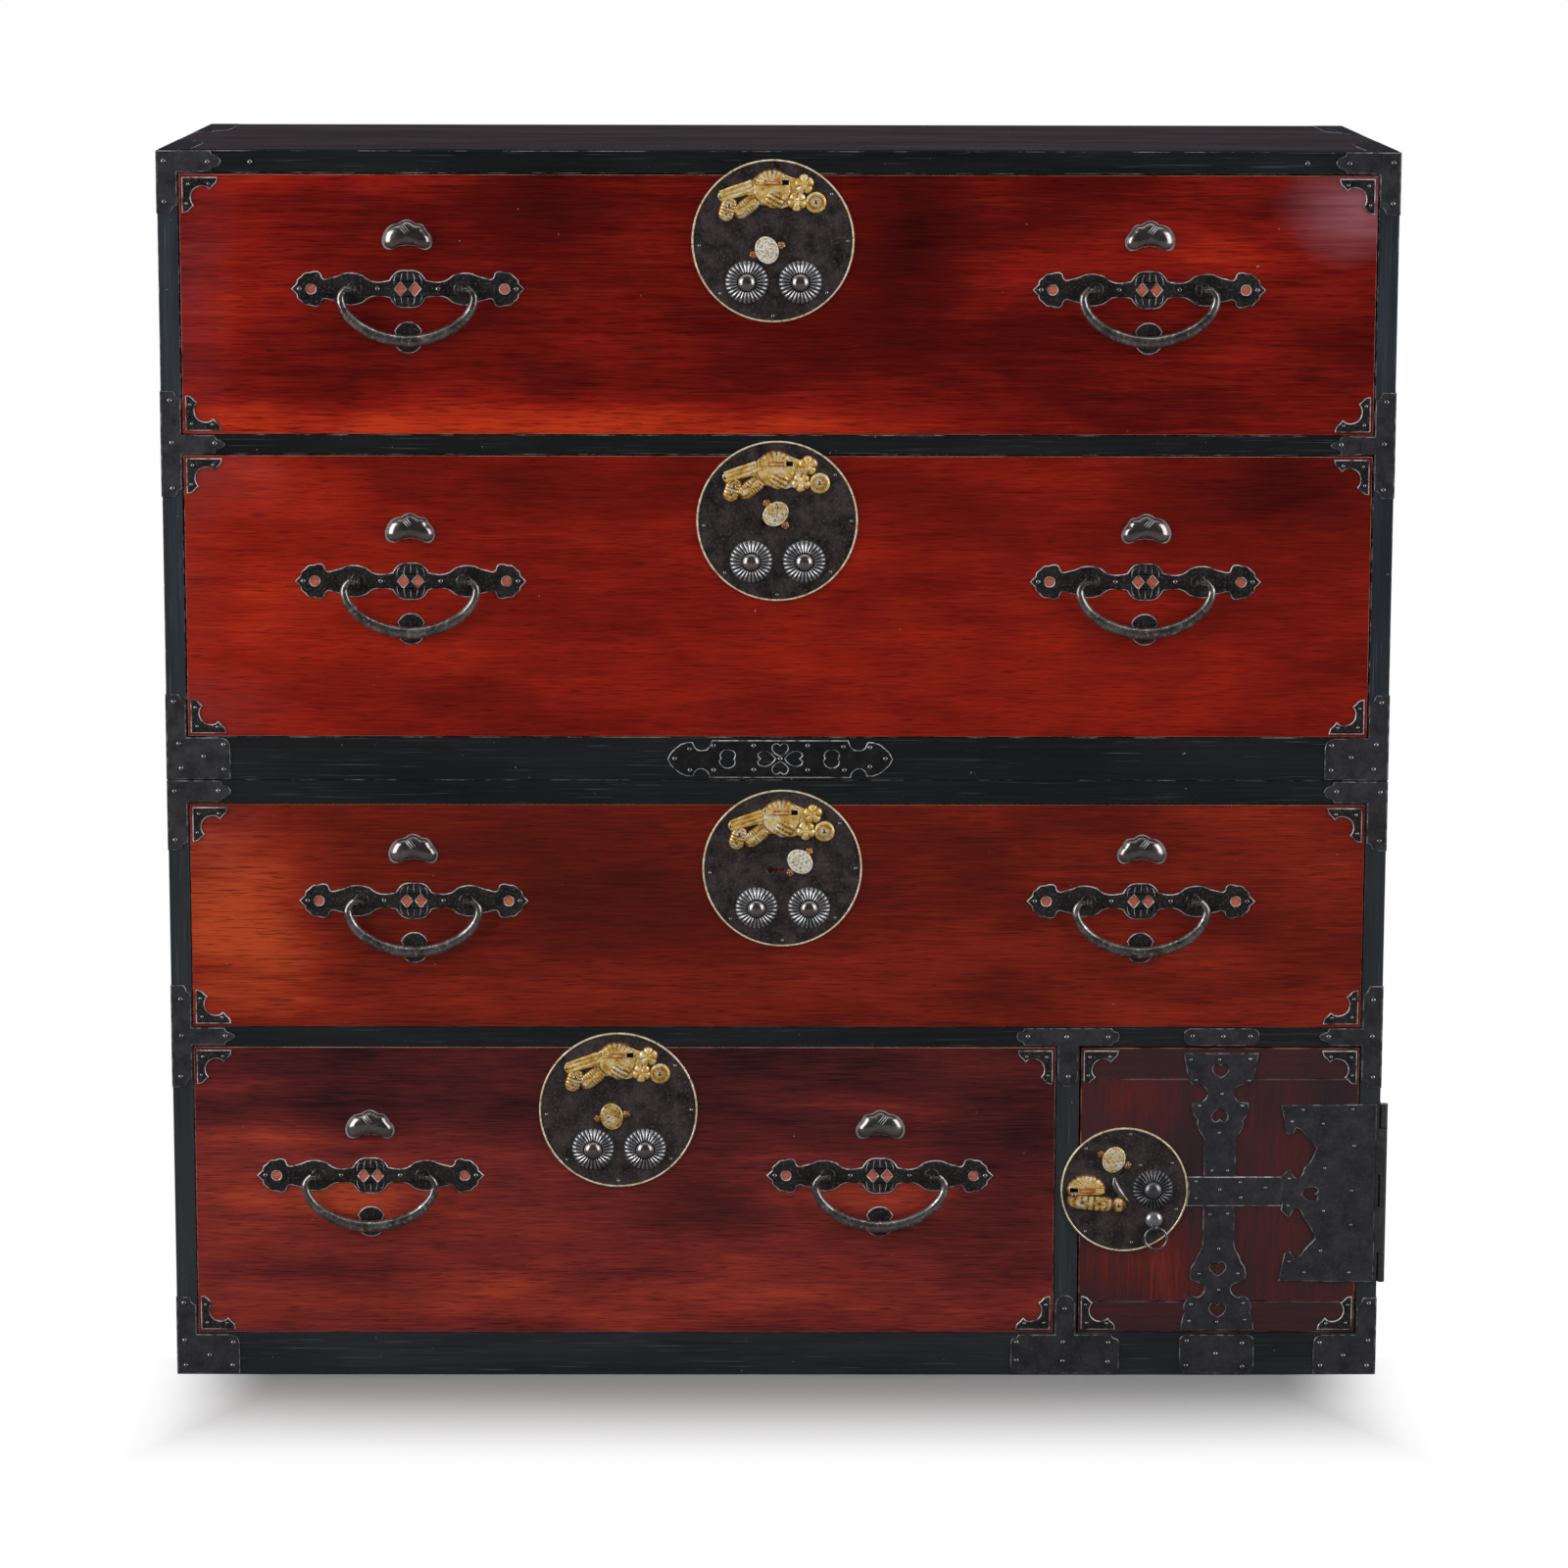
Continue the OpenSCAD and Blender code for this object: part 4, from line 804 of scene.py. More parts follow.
CORNER = [
    (0, 0), (0, 30.5), (4.5, 29.5, 1), (7.5, 26.5), (10.3, 24.2), (8.2, 21, 1), (7.6, 16.5, 1), (10.2, 10.6, 1),
    (16.2, 7.8, 1), (20.8, 8.3, 1), (23.8, 10.6), (26.2, 7.6), (29.3, 4.6, 1), (30.5, 0)]
CORNER_NAILS = [(3.9, 22.5), (5.3, 6), (22.8, 5.6)]
CORNER_INSET = 2.4


def handle_set():
    """Pierced backplate, posts, bean boss and strike plate of one handle, round the middle of its posts."""
    holes = [[(x - 4.7, 0), (x, -5.6), (x + 4.7, 0), (x, 5.6)] for x in (-6.2, 6.2)]
    holes += [round_hole(x, 0, 4.1) for x in (-82.7, 82.7)]
    parts = [cut_sheet([four_sides(HANDLE_QUARTER)] + holes, PLATE_T, *CUT)]
    # engraved melon ribs over and under the diamonds, raised in light metal: the bright cut, and a painted highlight
    # along it
    for side in (-1, 1):
        for x in (-10.5, -5.2, 0, 5.2, 10.5):
            top = 15.2 - abs(x) * 0.3
            rib = [(7.4 - abs(x) * 0.28, 1.14), (10 - abs(x) * 0.12, 1.1), ((10 + top) / 2, 1.0), (top, 0.86)]
            parts.append(rod([(x * bow, -PLATE_T + 0.05, side * z) for z, bow in rib], [0.1, 0.26, 0.26, 0.1],
                             bright_edge, 1))
    parts += [cut_sheet([hole], 0.2, pale_red_in_openings, chamfer=0.05) for hole in holes]
    parts += [copied(nail, x, 0, -PLATE_T) for x in (-92.6, -26, 26, 92.6)]
    washer = chased(28, gathered(4), disc(6.8), domed(1.3), cut_iron, wall=0.2)
    for x in (-POST_X, POST_X):
        parts += [copied(washer, x, 0, -PLATE_T + 0.1),
                  rod([(x, -PIVOT_OUT + 4.2, 0), (x, FRONT_T, 0)], [2.4, 3.0], cut_iron),
                  bar((x - 12, FRONT_T, -2.5), (x + 12, FRONT_T + 1.5, 2.5), 0.5, inner_iron)]
        parts += [hoop((x + strand, -PIVOT_OUT, 0), 3.65, 1.25, 20, cut_iron) for strand in (-1.25, 1.25)]
    outline = reach_of(BEAN, 0.08)

    def dome(share, angle=0.0):
        return 0.4 + 7.0 * crown(share / 0.93)

    # the bean's rim is of the light edge metal: rubbing, and a painted highlight round the boss
    bean = chased(64, (0.2, 0.42, 0.62, 0.77, 0.87, 0.93, 0.965), outline, dome, bean_iron, bean_edge)
    parts.append(copied(recoat(bean, outline, 0.93, 2), 0, BOSS_RISE))
    # three strokes of the graver, in light metal: the bright cut, and a painted highlight along them
    for shift in (0, 1.8, 3.6):
        stroke = [(shift - 7.0 + 1.9 * k, 8.0 + shift * 0.5 - 2.1 * k) for k in range(4)]
        stroke = [(x, -0.3 - dome(math.hypot(x, z) / outline(math.atan2(z, x))), BOSS_RISE + z) for x, z in stroke]
        parts.append(rod(stroke, [0.15, 0.42, 0.42, 0.15], bright_edge, 1))
    parts.append(copied(cut_sheet([four_sides(STRIKE_QUARTER)], PLATE_T, *CUT), 0, -STRIKE_DROP))
    return joined(parts)


def corner_irons(low, high):
    """Corner irons in the four corners of a front."""
    left, right = low.x + CORNER_INSET, high.x - CORNER_INSET
    floor, top = low.z + CORNER_INSET, high.z - CORNER_INSET
    return [on_front(corner, left, floor), on_front(corner, right, floor, mirror=True),
            on_front(corner, left, top, mirror=True, turn=180), on_front(corner, right, top, turn=180)]


def flower(r, eye, high, dome_high, flutes, dome):
    """Fluted boss of 28 petals round a polished dome, which takes up the share eye."""
    def flute(angle):
        return abs(math.sin(14 * angle))

    def relief(share, angle):
        if share <= eye:
            return high - 1.6 + (dome_high - high + 1.6) * crown(share / eye)
        return max(0.0, high * crown((share - eye) / (1 - eye), 1.9) - 1.5 * (1 - flute(angle) ** 0.8))

    def groove(share, angle):
        return 0.0 if share < eye * 0.98 or share > 0.995 else 1 - flute(angle) ** 0.9

    def reach(angle):
        return r * (0.97 + 0.03 * flute(angle))

    shares = [eye * part for part in (0.4, 0.72, 0.92, 1.0)] + [eye + 0.03, 0.6, 0.74, 0.86, 0.95, 0.985]
    boss = chased(112, shares, reach, relief, flutes, dome, recess=groove)
    return recoat(boss, reach, -1, eye + 0.02)


def border(share):
    """Dirt that stays along the outline of a gilt piece."""
    return 0.85 * (share > 0.92)


def blossom(r, high, metal):
    """Five-petalled blossom with dirt between its petals."""
    def petal(angle):
        return abs(math.cos(2.5 * angle))

    return chased(40, gathered(5), lambda angle: r * (0.84 + 0.16 * petal(angle) ** 0.6),
                  lambda share, angle: high * crown(share, 3) * (0.8 + 0.2 * petal(angle)), metal,
                  recess=lambda share, angle: max((1 - petal(angle)) ** 3 * (share > 0.3) * 0.9, border(share)))


def ridged(half, r, tilt, high, pitch):
    """Gilt oblong with round ends, chased across with ridges, pitch apart."""
    reach = oblong(half, r, tilt)

    def wave(share, angle):
        along = share * reach(angle) * math.cos(angle - math.radians(tilt))
        return 0.5 + 0.5 * math.cos(math.tau * along / pitch)

    return chased(48, gathered(7), reach,
                  lambda share, angle: high * crown(share, 2.5) - 0.5 * (1 - wave(share, angle)), gilt,
                  recess=lambda share, angle: max((1 - wave(share, angle)) ** 2, border(share)))


def shell(r, squash, high, ribs):
    """Gilt fan-shaped body: ribs spread over its upper half, its lower half smooth."""
    def rib(angle):
        return abs(math.cos(ribs / 2 * angle)) if math.sin(angle) > -0.1 else 1.0

    def reach(angle):
        return r * (1 - (1 - squash) * abs(math.sin(angle))) * (0.93 + 0.07 * rib(angle) ** 0.5)

    return chased(64, gathered(8), reach,
                  lambda share, angle: high * crown(share, 2.6) - 0.55 * share * (1 - rib(angle)), gilt,
                  recess=lambda share, angle: max(0.9 * share * (1 - rib(angle)) ** 2, border(share)))


def slotted(piece, slot, half):
    """Cuts a tab's slot through a piece of a lock's ornament."""
    return cut_away(piece, (slot[0] - half[0], -12, slot[1] - half[1]), (slot[0] + half[0], 1, slot[1] + half[1]))


def lock_ornament():
    """Gilt ornament of a drawer's lock: shell-shaped body, a scroll on the left and blossoms on the right."""
    link = cut_sheet([[(-20, 36, 1), (-20, 47, 1), (-14, 55, 1), (0, 59, 1), (14, 55, 1), (24, 49, 1), (21, 40, 1),
                       (14, 30, 1), (-10, 31, 1)]], 1.6, gilt, chamfer=0.7, soft=2)
    parts = [slotted(copied(pattern, x, z, -LOCK_T), SLOT, SLOT_HALF)
             for pattern, x, z in ((shell(17.8, 0.93, 4.2, 22), -1, 45.2), (link, 0, 0))]
    # the scroll's bar is a flat band with three long ridges
    band = cut_sheet([[(-44.5, 33.6), (-47.2, 38.6, 1), (-44.6, 42.6), (-19, 52.2), (-15, 46), (-18, 40.4)]],
                     2.2, gilt, chamfer=0.8, soft=2)
    for across in (-3.6, 0, 3.4):
        shift = -across * 0.36
        parts.append(rod([(shift - 44.5, -LOCK_T - 2.2, 38.4 + across), (shift - 31, -LOCK_T - 2.6, 43.2 + across),
                          (shift - 18, -LOCK_T - 2.4, 47.4 + across * 0.9)], [0.9, 1.35, 1.2], gilt, 2))

    def ring(share):
        return math.exp(-((share - 0.55) / 0.12) ** 2)

    seat = chased(40, gathered(6), disc(9.0), lambda share, angle: 3.4 * crown(share, 2.2) - 1.2 * ring(share), gilt,
                  recess=lambda share, angle: 0.9 * ring(share))
    bloom = blossom(8.8, 4.0, gilt)
    for pattern, x, z, turn, out in (
            (ridged(0.1, 9.4, 60, 5.4, 4.0), 1.4, 36.6, 0, 0), (band, 0, 0, 0, 0),
            (ridged(4.2, 7.0, 72, 4.0, 2.9), -38.6, 27.2, 0, 0), (ridged(6.0, 7.2, 38, 4.0, 2.4), -22.6, 29.2, 0, 0),
            (bloom, 26.5, 48.5, 20, 0), (bloom, 20.5, 33.8, 50, 0), (seat, 36.5, 33.0, 0, 0),
            (small_nail, -0.5, 58.4, 0, 2.2), (small_nail, -45.2, 37.6, 0, 2.0), (nail, -37.4, 30.0, 0, 3.6),
            (nail, 36.5, 33.4, 0, 3.4)):
        parts.append(copied(pattern, x, z, -LOCK_T - out, turn=turn))
    return joined(parts)


def key_cover():
    """Oval key cover with a copper rosette at each end, its pivot at the origin, pointing along +x."""
    base = LOCK_T + 0.3
    half_w, half_h = 9.8, 11.8

    def gap(share, angle):
        """Depth of the engraving between scales that overlap like a fish's."""
        x, z = half_w * share * math.cos(angle), half_h * share * math.sin(angle)
        row = math.floor(x / 3.4)
        wave = math.sin(math.pi * (x / 3.4 + 0.35 * math.cos(math.pi * (z / 2.3 + row % 2))))
        return (1 - abs(wave)) * (share < 0.95)

    oval = chased(
        56, gathered(9),
        lambda angle: half_w * half_h / math.hypot(half_h * math.cos(angle), half_w * math.sin(angle)),
        lambda share, angle: 1.1 + 1.4 * crown(share, 2.4) - 0.45 * gap(share, angle), pale_gilt,
        recess=lambda share, angle: 0.85 * gap(share, angle) ** 1.4)
    rosette = blossom(3.6, 1.7, rosette_copper)
    return joined([copied(oval, 12.9, 0, -base), copied(rosette, 0, 0, -base), copied(rosette, 25, 0, -base),
                   copied(small_nail, 0, 0, -base - 1.5),
                   rod([(0, -base, 0), (0, 1.6, 0)], [1.4, 1.4], rosette_copper),
                   rod([(0, 0.3, 0), (0, 1.5, 0)], [2.4, 2.2], inner_iron)])


def lock_tab(depth, left, right):
    """Copper tab that is pushed along its slot, its middle at the origin, in a gilt frame that hides the slot."""
    tab = bar((-7, -LOCK_T - GILT_T - 2.5, -2), (7, depth, 2), 0.35, tab_copper)
    with edited(tab, "FACE", lambda face: face.normal.y < -0.99):
        bpy.ops.mesh.inset(thickness=0.55 * MM, depth=0)
        bpy.ops.mesh.extrude_region_move(TRANSFORM_OT_translate={"value": (0, 0.9 * MM, 0)})
    return joined([tab, bar((left, -LOCK_T - GILT_T - 1.7, -1.9), (right, -LOCK_T - 0.1, 1.9), 0.4, gilt)])


def bail():
    """Hammered bail hanging from its pins, with the pins' middle line through the origin."""
    half_w, drop, dip, rings = 57.0, 44.0, 7.4, 44
    end_x, end_rise = 51.2, 1.6
    turn = math.acos(end_x / half_w)
    rise = (dip + end_rise) / math.sin(turn)
    path, radii = [], []
    for k in range(rings + 1):
        angle = -turn + (math.pi + 2 * turn) * k / rings
        across = math.cos(angle)
        if 0 <= angle <= math.pi:
            x = half_w * math.copysign(abs(across) ** 1.08, across)
            z = -dip - (drop - dip) * math.sin(angle) ** 1.08
        else:
            x = half_w * across
            z = -dip - rise * math.sin(angle)
        # hammering left it a little uneven
        uneven = 1 + 0.018 * math.sin(2.3 * k) * math.sin(math.pi * k / rings)
        path.append((x, -PIVOT_OUT, z))
        radii.append((2.7 + 2.6 * math.sin(math.pi * k / rings) ** 1.3) * min(1.0, uneven))
    pins = [rod([(side * x, -PIVOT_OUT, 0) for x in (end_x + 0.4, end_x - 6.4, end_x - 6.8)], [2.2, 2.2, 1.7],
                bail_iron) for side in (-1, 1)]
    return joined([rod(path, radii, bail_iron, 4)] + pins)


def lock_rim_of(r):
    return cut_sheet([round_hole(0, 0, r), round_hole(0, 0, r - RIM_W)], RIM_H, rim_brass,
                     chamfer=0.7, steps=24, soft=2)


def lock_disc_of(r, slot, half, pivot, keyhole):
    """Round iron plate with its tab's slot, a hole for its key cover's pin and a keyhole."""
    return cut_sheet([round_hole(0, 0, r - RIM_W), square_hole(*slot, *half), round_hole(*pivot, PIVOT_R), keyhole],
                     LOCK_T, plate_iron, chamfer=0.3, steps=24)


corner = joined([cut_sheet([CORNER], PLATE_T, *CUT)] + [copied(small_nail, *spot, -PLATE_T) for spot in CORNER_NAILS])
handle = handle_set()
# guides of the bolt and its leaf spring, behind a drawer's lock plate
works = joined([bar(low, high, ease, inner_iron) for low, high, ease in (
    ((-13.3, 0, 21.2), (-10.3, 7.6, 53.5), 0.3), ((12.8, 0, 21.2), (15.8, 7.6, 53.5), 0.3),
    ((-10.25, 0, 21.2), (12.75, 7.6, 24.2), 0.3), ((-5, 7.0, 24.25), (3, 7.6, 50.5), 0.2))])
drawer_flower = flower(18.5, 0.44, 4.6, 9.2, flute_iron, dome_iron)
drawer_ornament = lock_ornament()
cover = key_cover()
# the tab with its carrier and cam pin
drawer_tab = joined([lock_tab(2.3, -13.6, 8.6), bar((-7, 0.3, -14), (7, 2.3, 3), 0.3, inner_iron),
                     rod([(-2, 1.6, -6), (-2, 6.2, -6), (-2, 6.3, -6)], [1.5, 1.5, 1.2], inner_iron)])
bail_pattern = bail()
lock_disc = lock_disc_of(LOCK_R, SLOT, SLOT_HALF, KEY_PIVOT, [
    (-13.2, -1.4, 1), (-10.2, 1.6, 1), (-7.6, -0.2), (2, -0.2), (2, -2.6), (-7.6, -2.6), (-10.2, -4.4, 1)])
lock_rim = lock_rim_of(LOCK_R)
PLATE_NAILS = [(0, -64), (-45, -45), (46, -44), (-63, -4), (64, 0), (50, 40)]


# Drawers

for drawer, red in reds.items():
    low, high = corners(f"{drawer}_front")
    centre = (low + high) / 2

    def front_sort(face):
        """Bare wood on the back of the front and in the lock's pockets."""
        at = face.center / MM
        in_pocket = abs(at.x - centre.x) < 40 and at.y > FACE_Y + 0.5
        return 0 if at.y < FACE_Y + FRONT_T - 0.5 and not in_pocket else 1

    dressed(f"{drawer}_front", 1.2, f"{drawer}_lacquered_front", drawer,
            "maroon_lacquer" if drawer == "bottom_drawer" else "red_lacquer", red, cross_wood, red_edge,
            sort=front_sort)
    dressed(f"{drawer}_box", 0.8, f"{drawer}_dovetailed_box", drawer, "drawer_wood",
            drawer_wood, cross_wood, drawer_wood, sort=lambda face: int(abs(face.normal.y) > 0.9))

    lock = middle(f"{drawer}_lock_plate")
    irons = corner_irons(low, high) + [on_front(works, lock.x, lock.z)]
    for side in ("left", "right"):
        hung = f"{drawer}_{side}_bail"
        place = (middle(hung).x, centre.z + HANDLE_RISE)
        irons.append(on_front(handle, *place, mirror=side == "right"))
        finish([on_front(bail_pattern, *place)], f"{drawer}_{side}_hammered_bail", hung, "wrought_iron", hung)
    finish(irons, f"{drawer}_cut_irons", drawer, "wrought_iron", f"{drawer}_iron_fittings")

    plate = [on_front(small_nail, lock.x + x, lock.z + z, LOCK_T) for x, z in PLATE_NAILS]
    finish([on_front(lock_disc, lock.x, lock.z)] + plate, f"{drawer}_round_lock_plate", drawer, "lock_iron",
           f"{drawer}_lock_plate")
    finish([on_front(lock_rim, lock.x, lock.z), on_front(drawer_ornament, lock.x, lock.z),
            on_front(drawer_flower, lock.x - 22.3, lock.z - 35, LOCK_T),
            on_front(drawer_flower, lock.x + 23.4, lock.z - 35, LOCK_T)],
           f"{drawer}_gilt_lock_ornament", drawer, "gilt_brass", f"{drawer}_lock_ornament")
    turned_cover = on_front(cover, lock.x + KEY_PIVOT[0], lock.z + KEY_PIVOT[1], turn=COVER_TURN[drawer])
    if drawer in ("second_drawer", "bottom_drawer"):
        turned_cover.data.materials[0] = warm_gilt if drawer == "bottom_drawer" else half_pale_gilt
    finish([turned_cover], f"{drawer}_oval_key_cover", f"{drawer}_key_cover", "pale_gilt", f"{drawer}_key_cover")
    finish([on_front(drawer_tab, lock.x + SLOT[0], lock.z + SLOT[1])], f"{drawer}_framed_tab", f"{drawer}_lock_tab",
           "tab_copper", f"{drawer}_lock_tab")
    coat(solids[f"{drawer}_lock_bolt"], inner_iron)


# Door

STRAP_HALF = [
    (33, 292.4), (30.7, 280.5), (29.6, 272.9), (27.2, 266.3), (23.8, 263.2, 1), (18, 263.9, 1), (12.7, 259.6, 1),
    (11.8, 255.6, 1), (14.5, 250.1, 1), (19.2, 248.2), (24.2, 247.3), (25.2, 241.3, 1), (22.6, 235.4, 1),
    (19.9, 231.8), (20.3, 227, 1), (16.9, 219.9, 1), (13.9, 215.2), (13.9, 121.4), (15, 115.5, 1), (19.2, 107.2, 1),
    (20.3, 103.6), (23.8, 97.7, 1), (24.5, 88.2, 1), (22.6, 85.8), (18, 84.6, 1), (11.8, 79.9, 1), (12.7, 75.1, 1),
    (18, 71.1, 1), (23.3, 72, 1), (27.2, 69.7), (30.2, 62, 1), (28.9, 57.3), (31.2, 50.2, 1), (32.6, 40.7)]
STRAP_NAILS = [
    (362.82, 286.46), (387.99, 286.46), (415.23, 286.94), (367.67, 267.94), (414.31, 267.47), (390.53, 255.59),
    (371.13, 244.91), (409, 244.91), (388.68, 220.45), (390.07, 115.02), (372.98, 92.23), (407.15, 92.46),
    (390.53, 77.5), (366.29, 64.21), (412.46, 65.39), (364.67, 49.01), (389.37, 48.3), (414.08, 50.2),
    (382.91, 186.26), (396.76, 186.26), (381.75, 146.36), (397.45, 147.08)]
ARM_NAILS = [
    (390.07, 168.92), (368.83, 176.52), (368.83, 161.09), (407.84, 175.57), (408.54, 161.8), (430.24, 170.82)]
ARM_T = 1.4
ARM_R = 56.6
ARM_Z = 167.5
ARM_HALF = 13.3
LEAF_HALF = [
    (0, 79.9), (2.7, 65.8), (4.2, 58.3), (5.5, 54.2, 1), (9.6, 52.7, 1), (11.8, 56.1, 1), (13.6, 59.3), (18.2, 57, 1),
    (22.7, 50.9, 1), (31.8, 41.1), (26, 28.4, 1), (20.9, 22.8), (19.5, 17.6, 1), (14.6, 13.8, 1), (10.9, 17.2, 1),
    (8.2, 21.5, 1), (4.2, 18.7, 1), (0.9, 15.3), (2, 8.8, 1)]
LEAF_NAILS = [
    (19.1, 75.55), (62.76, 76.11), (9.46, 64.89), (36.93, 63.02), (64.57, 43.01), (39.11, 22.81), (8.19, 13.46),
    (63.12, 2.24), (7.28, -11.22), (38.74, -16.08), (63.12, -28.61), (36.93, -52.36), (9.1, -62.27),
    (22.74, -72.18), (62.21, -72.18)]
LEAF_T = 1.5
LEAF_REACH = 80.6
KNUCKLE_X = 527.0
CLAMP = 28.0

low, high = corners("door_panel")
door_z = middle("door_panel").z
joint = high.z - door_z - CLAMP
panel = dressed("door_panel", 0.9, "door_clamped_panel", "door", "door_lacquer",
                door_red, clamp_red, clamp_line, door_edge,
                sort=lambda face: int(abs(face.center.z / MM - door_z) > joint))
for face in panel.data.polygons:
    if face.material_index == 3 and abs(abs(face.center.z / MM - door_z) - joint) < 1.2:
        face.material_index = 2

STRAP_X = high.x - 121.5
lock = middle("door_lock_plate")
leaf_x, leaf_z = corners("door_hinge_leaf")[0].x, middle("door_hinge_leaf").z
hearts = [heart_hole(389.3, 276.8, 13.6, 12.4), heart_hole(389.0, 236.6, 13.6, 12.4, 180),
          heart_hole(389.3, 97.0, 13.8, 12.6), heart_hole(389.6, 59.2, 14, 12.6)]
strap = cut_sheet([moved(both_sides(STRAP_HALF), STRAP_X)] + hearts, STRAP_T, *STRAP)
arm_x = lock.x + math.sqrt(ARM_R ** 2 - ARM_HALF ** 2)
arm = cut_sheet([[(arm_x - 0.6, ARM_Z - ARM_HALF), (leaf_x + 3, ARM_Z - ARM_HALF), (leaf_x + 3, ARM_Z + ARM_HALF),
                  (arm_x, ARM_Z + ARM_HALF), (lock.x + ARM_R, ARM_Z, 1)]], ARM_T, strap_iron, bright_edge)
irons = [on_front(strap), on_front(arm)] + corner_irons(low, high)
irons += [on_front(small_nail, *spot, STRAP_T) for spot in STRAP_NAILS]
irons += [on_front(small_nail, *spot, ARM_T) for spot in ARM_NAILS]
finish(irons, "door_cross_strap_and_corners", "door", "strap_iron", "door_straps")

end_x = KNUCKLE_X - leaf_x
cusps = LEAF_HALF + [(0, 0)] + flipped(LEAF_HALF, 1, -1)
leaf = cut_sheet([[(end_x, LEAF_REACH)] + cusps + [(end_x, -LEAF_REACH)], heart_hole(26.6, -0.6, 12.6, 14.5, -90)],
                 LEAF_T, *STRAP)
# the knuckles keep the solid's own shape: everything left of them is cut off
knuckles = loose("door_hinge_leaf")
with edited(knuckles):
    bpy.ops.mesh.bisect(plane_co=(KNUCKLE_X * MM, 0, 0), plane_no=(1, 0, 0), use_fill=True, clear_inner=True)
coat(knuckles, strap_iron)
smooth(knuckles, 30)
nails = [on_front(small_nail, leaf_x + x, leaf_z + z, LEAF_T) for x, z in LEAF_NAILS]
finish([knuckles, on_front(leaf, leaf_x, leaf_z)] + nails, "door_cusped_hinge_leaf", "door", "strap_iron",
       "door_hinge_leaf")
dressed("side_hinge_leaf", 0.3, "side_hinge_leaf_and_pin", "lower_case", "strap_iron", *STRAP)


def at_lock(pattern, x=0.0, z=0.0, out=LOCK_T, **turns):
    """A copy on the door's lock plate, x and z from the plate's middle."""
    return on_front(pattern, lock.x + x, lock.z + z, out, **turns)


plate = lock_disc_of(DOOR_LOCK_R, DOOR_SLOT, DOOR_SLOT_HALF, DOOR_KEY_PIVOT, [
    (-4.6, 13.2), (-2.8, 12.2), (1.4, 17.6), (-0.4, 18.8)])
lip = rod([(-9.2, -1.6, 11.0), (-8.6, -2.0, 6.2), (-6.2, -2.4, 0.8), (-1.8, -2.4, -4.8), (3.6, -1.9, -10.6)],
          [0.8, 3.0, 3.4, 2.8, 0.7], bail_iron)
nails = [at_lock(small_nail, x, z)
         for x, z in ((5, 50), (-34, 37), (42, 24), (46, -18), (7, -48), (-34, -38), (14, 22))]
finish([at_lock(plate, out=0), at_lock(lip, out=0)] + nails, "door_round_lock_plate", "door", "lock_iron",
       "door_lock_plate")

# the fan ends where the animal under it begins, and the slot goes through it
fan = cut_away(copied(shell(17.6, 0.74, 4.2, 20), -33.5, 1, -LOCK_T), (-60, -12, -30), (-10, 0, -3.5))
animal, round_end = ridged(14.0, 7.0, -6, 4.6, 5.5), ridged(0.1, 6.8, 0, 4.4, 9.0)
stud = chased(28, gathered(5), disc(7.6), domed(5.0), flute_iron)
EYE_X, EYE_Z = 28.0, -33.4
eyelet = hoop((EYE_X, -7, EYE_Z), 2.2, 0.7, 16, nail_iron, 2)
shank = rod([(EYE_X, -1.5, EYE_Z + 2.6), (EYE_X, -5.2, EYE_Z + 1.4)], [1.4, 0.9], nail_iron, 2)
finish([at_lock(lock_rim_of(DOOR_LOCK_R), out=0), at_lock(slotted(fan, DOOR_SLOT, DOOR_SLOT_HALF), out=0),
        at_lock(animal, -29.5, -11.6), at_lock(round_end, -5.0, -13.5),
        at_lock(flower(17.9, 0.46, 4.4, 9.0, door_flute_iron, door_dome_iron), 25.1, 0.5),
        at_lock(stud, 26.6, -27.2), at_lock(eyelet, out=0), at_lock(shank, out=0),
        at_lock(nail, -44.5, -4.5, LOCK_T + 2.8), at_lock(nail, -5.0, -13.2, LOCK_T + 4.1)],
       "door_gilt_lock_ornament", "door", "gilt_brass", "door_ornament")
turned_cover = at_lock(cover, *DOOR_KEY_PIVOT, 0, turn=COVER_TURN["door"])
turned_cover.data.materials[0] = half_pale_gilt
finish([turned_cover], "door_oval_key_cover", "door_key_cover", "pale_gilt", "door_key_cover")
bolt_x = corners("door_lock_bolt")[0].x - lock.x
bolt = joined([bar((bolt_x, 3, -5), (bolt_x + 34, 7, 5), 0.4, inner_iron),
               copied(lock_tab(3.0, -8.2, 14.6), *DOOR_SLOT)])
finish([at_lock(bolt, out=0)], "door_bolt_with_framed_tab", "door_lock_bolt", "tab_copper", "door_lock_bolt")
finish([hoop(middle("door_ring"), 9.7, 1.1, 48, nail_iron, axis=0)], "door_pull_ring", "door_ring", "wrought_iron",
       "door_ring")


# Cases

def frame_sort(face):
    """Boards with their own finish: 2 is the front edge of the top or the lowest rail, 1 is an upright."""
    at = face.center / MM
    if face.normal.z > 0.3 and at.z > TOTAL_H - 3 or at.z < BASE_RAIL:
        return 2
    at_divider = abs(at.x - DIVIDER_X) < 11 and BASE_RAIL + 0.5 < at.z < LOW_MID_Z - 0.1
    return int(abs(at.x) > STILE_X - 0.02 or at_divider)


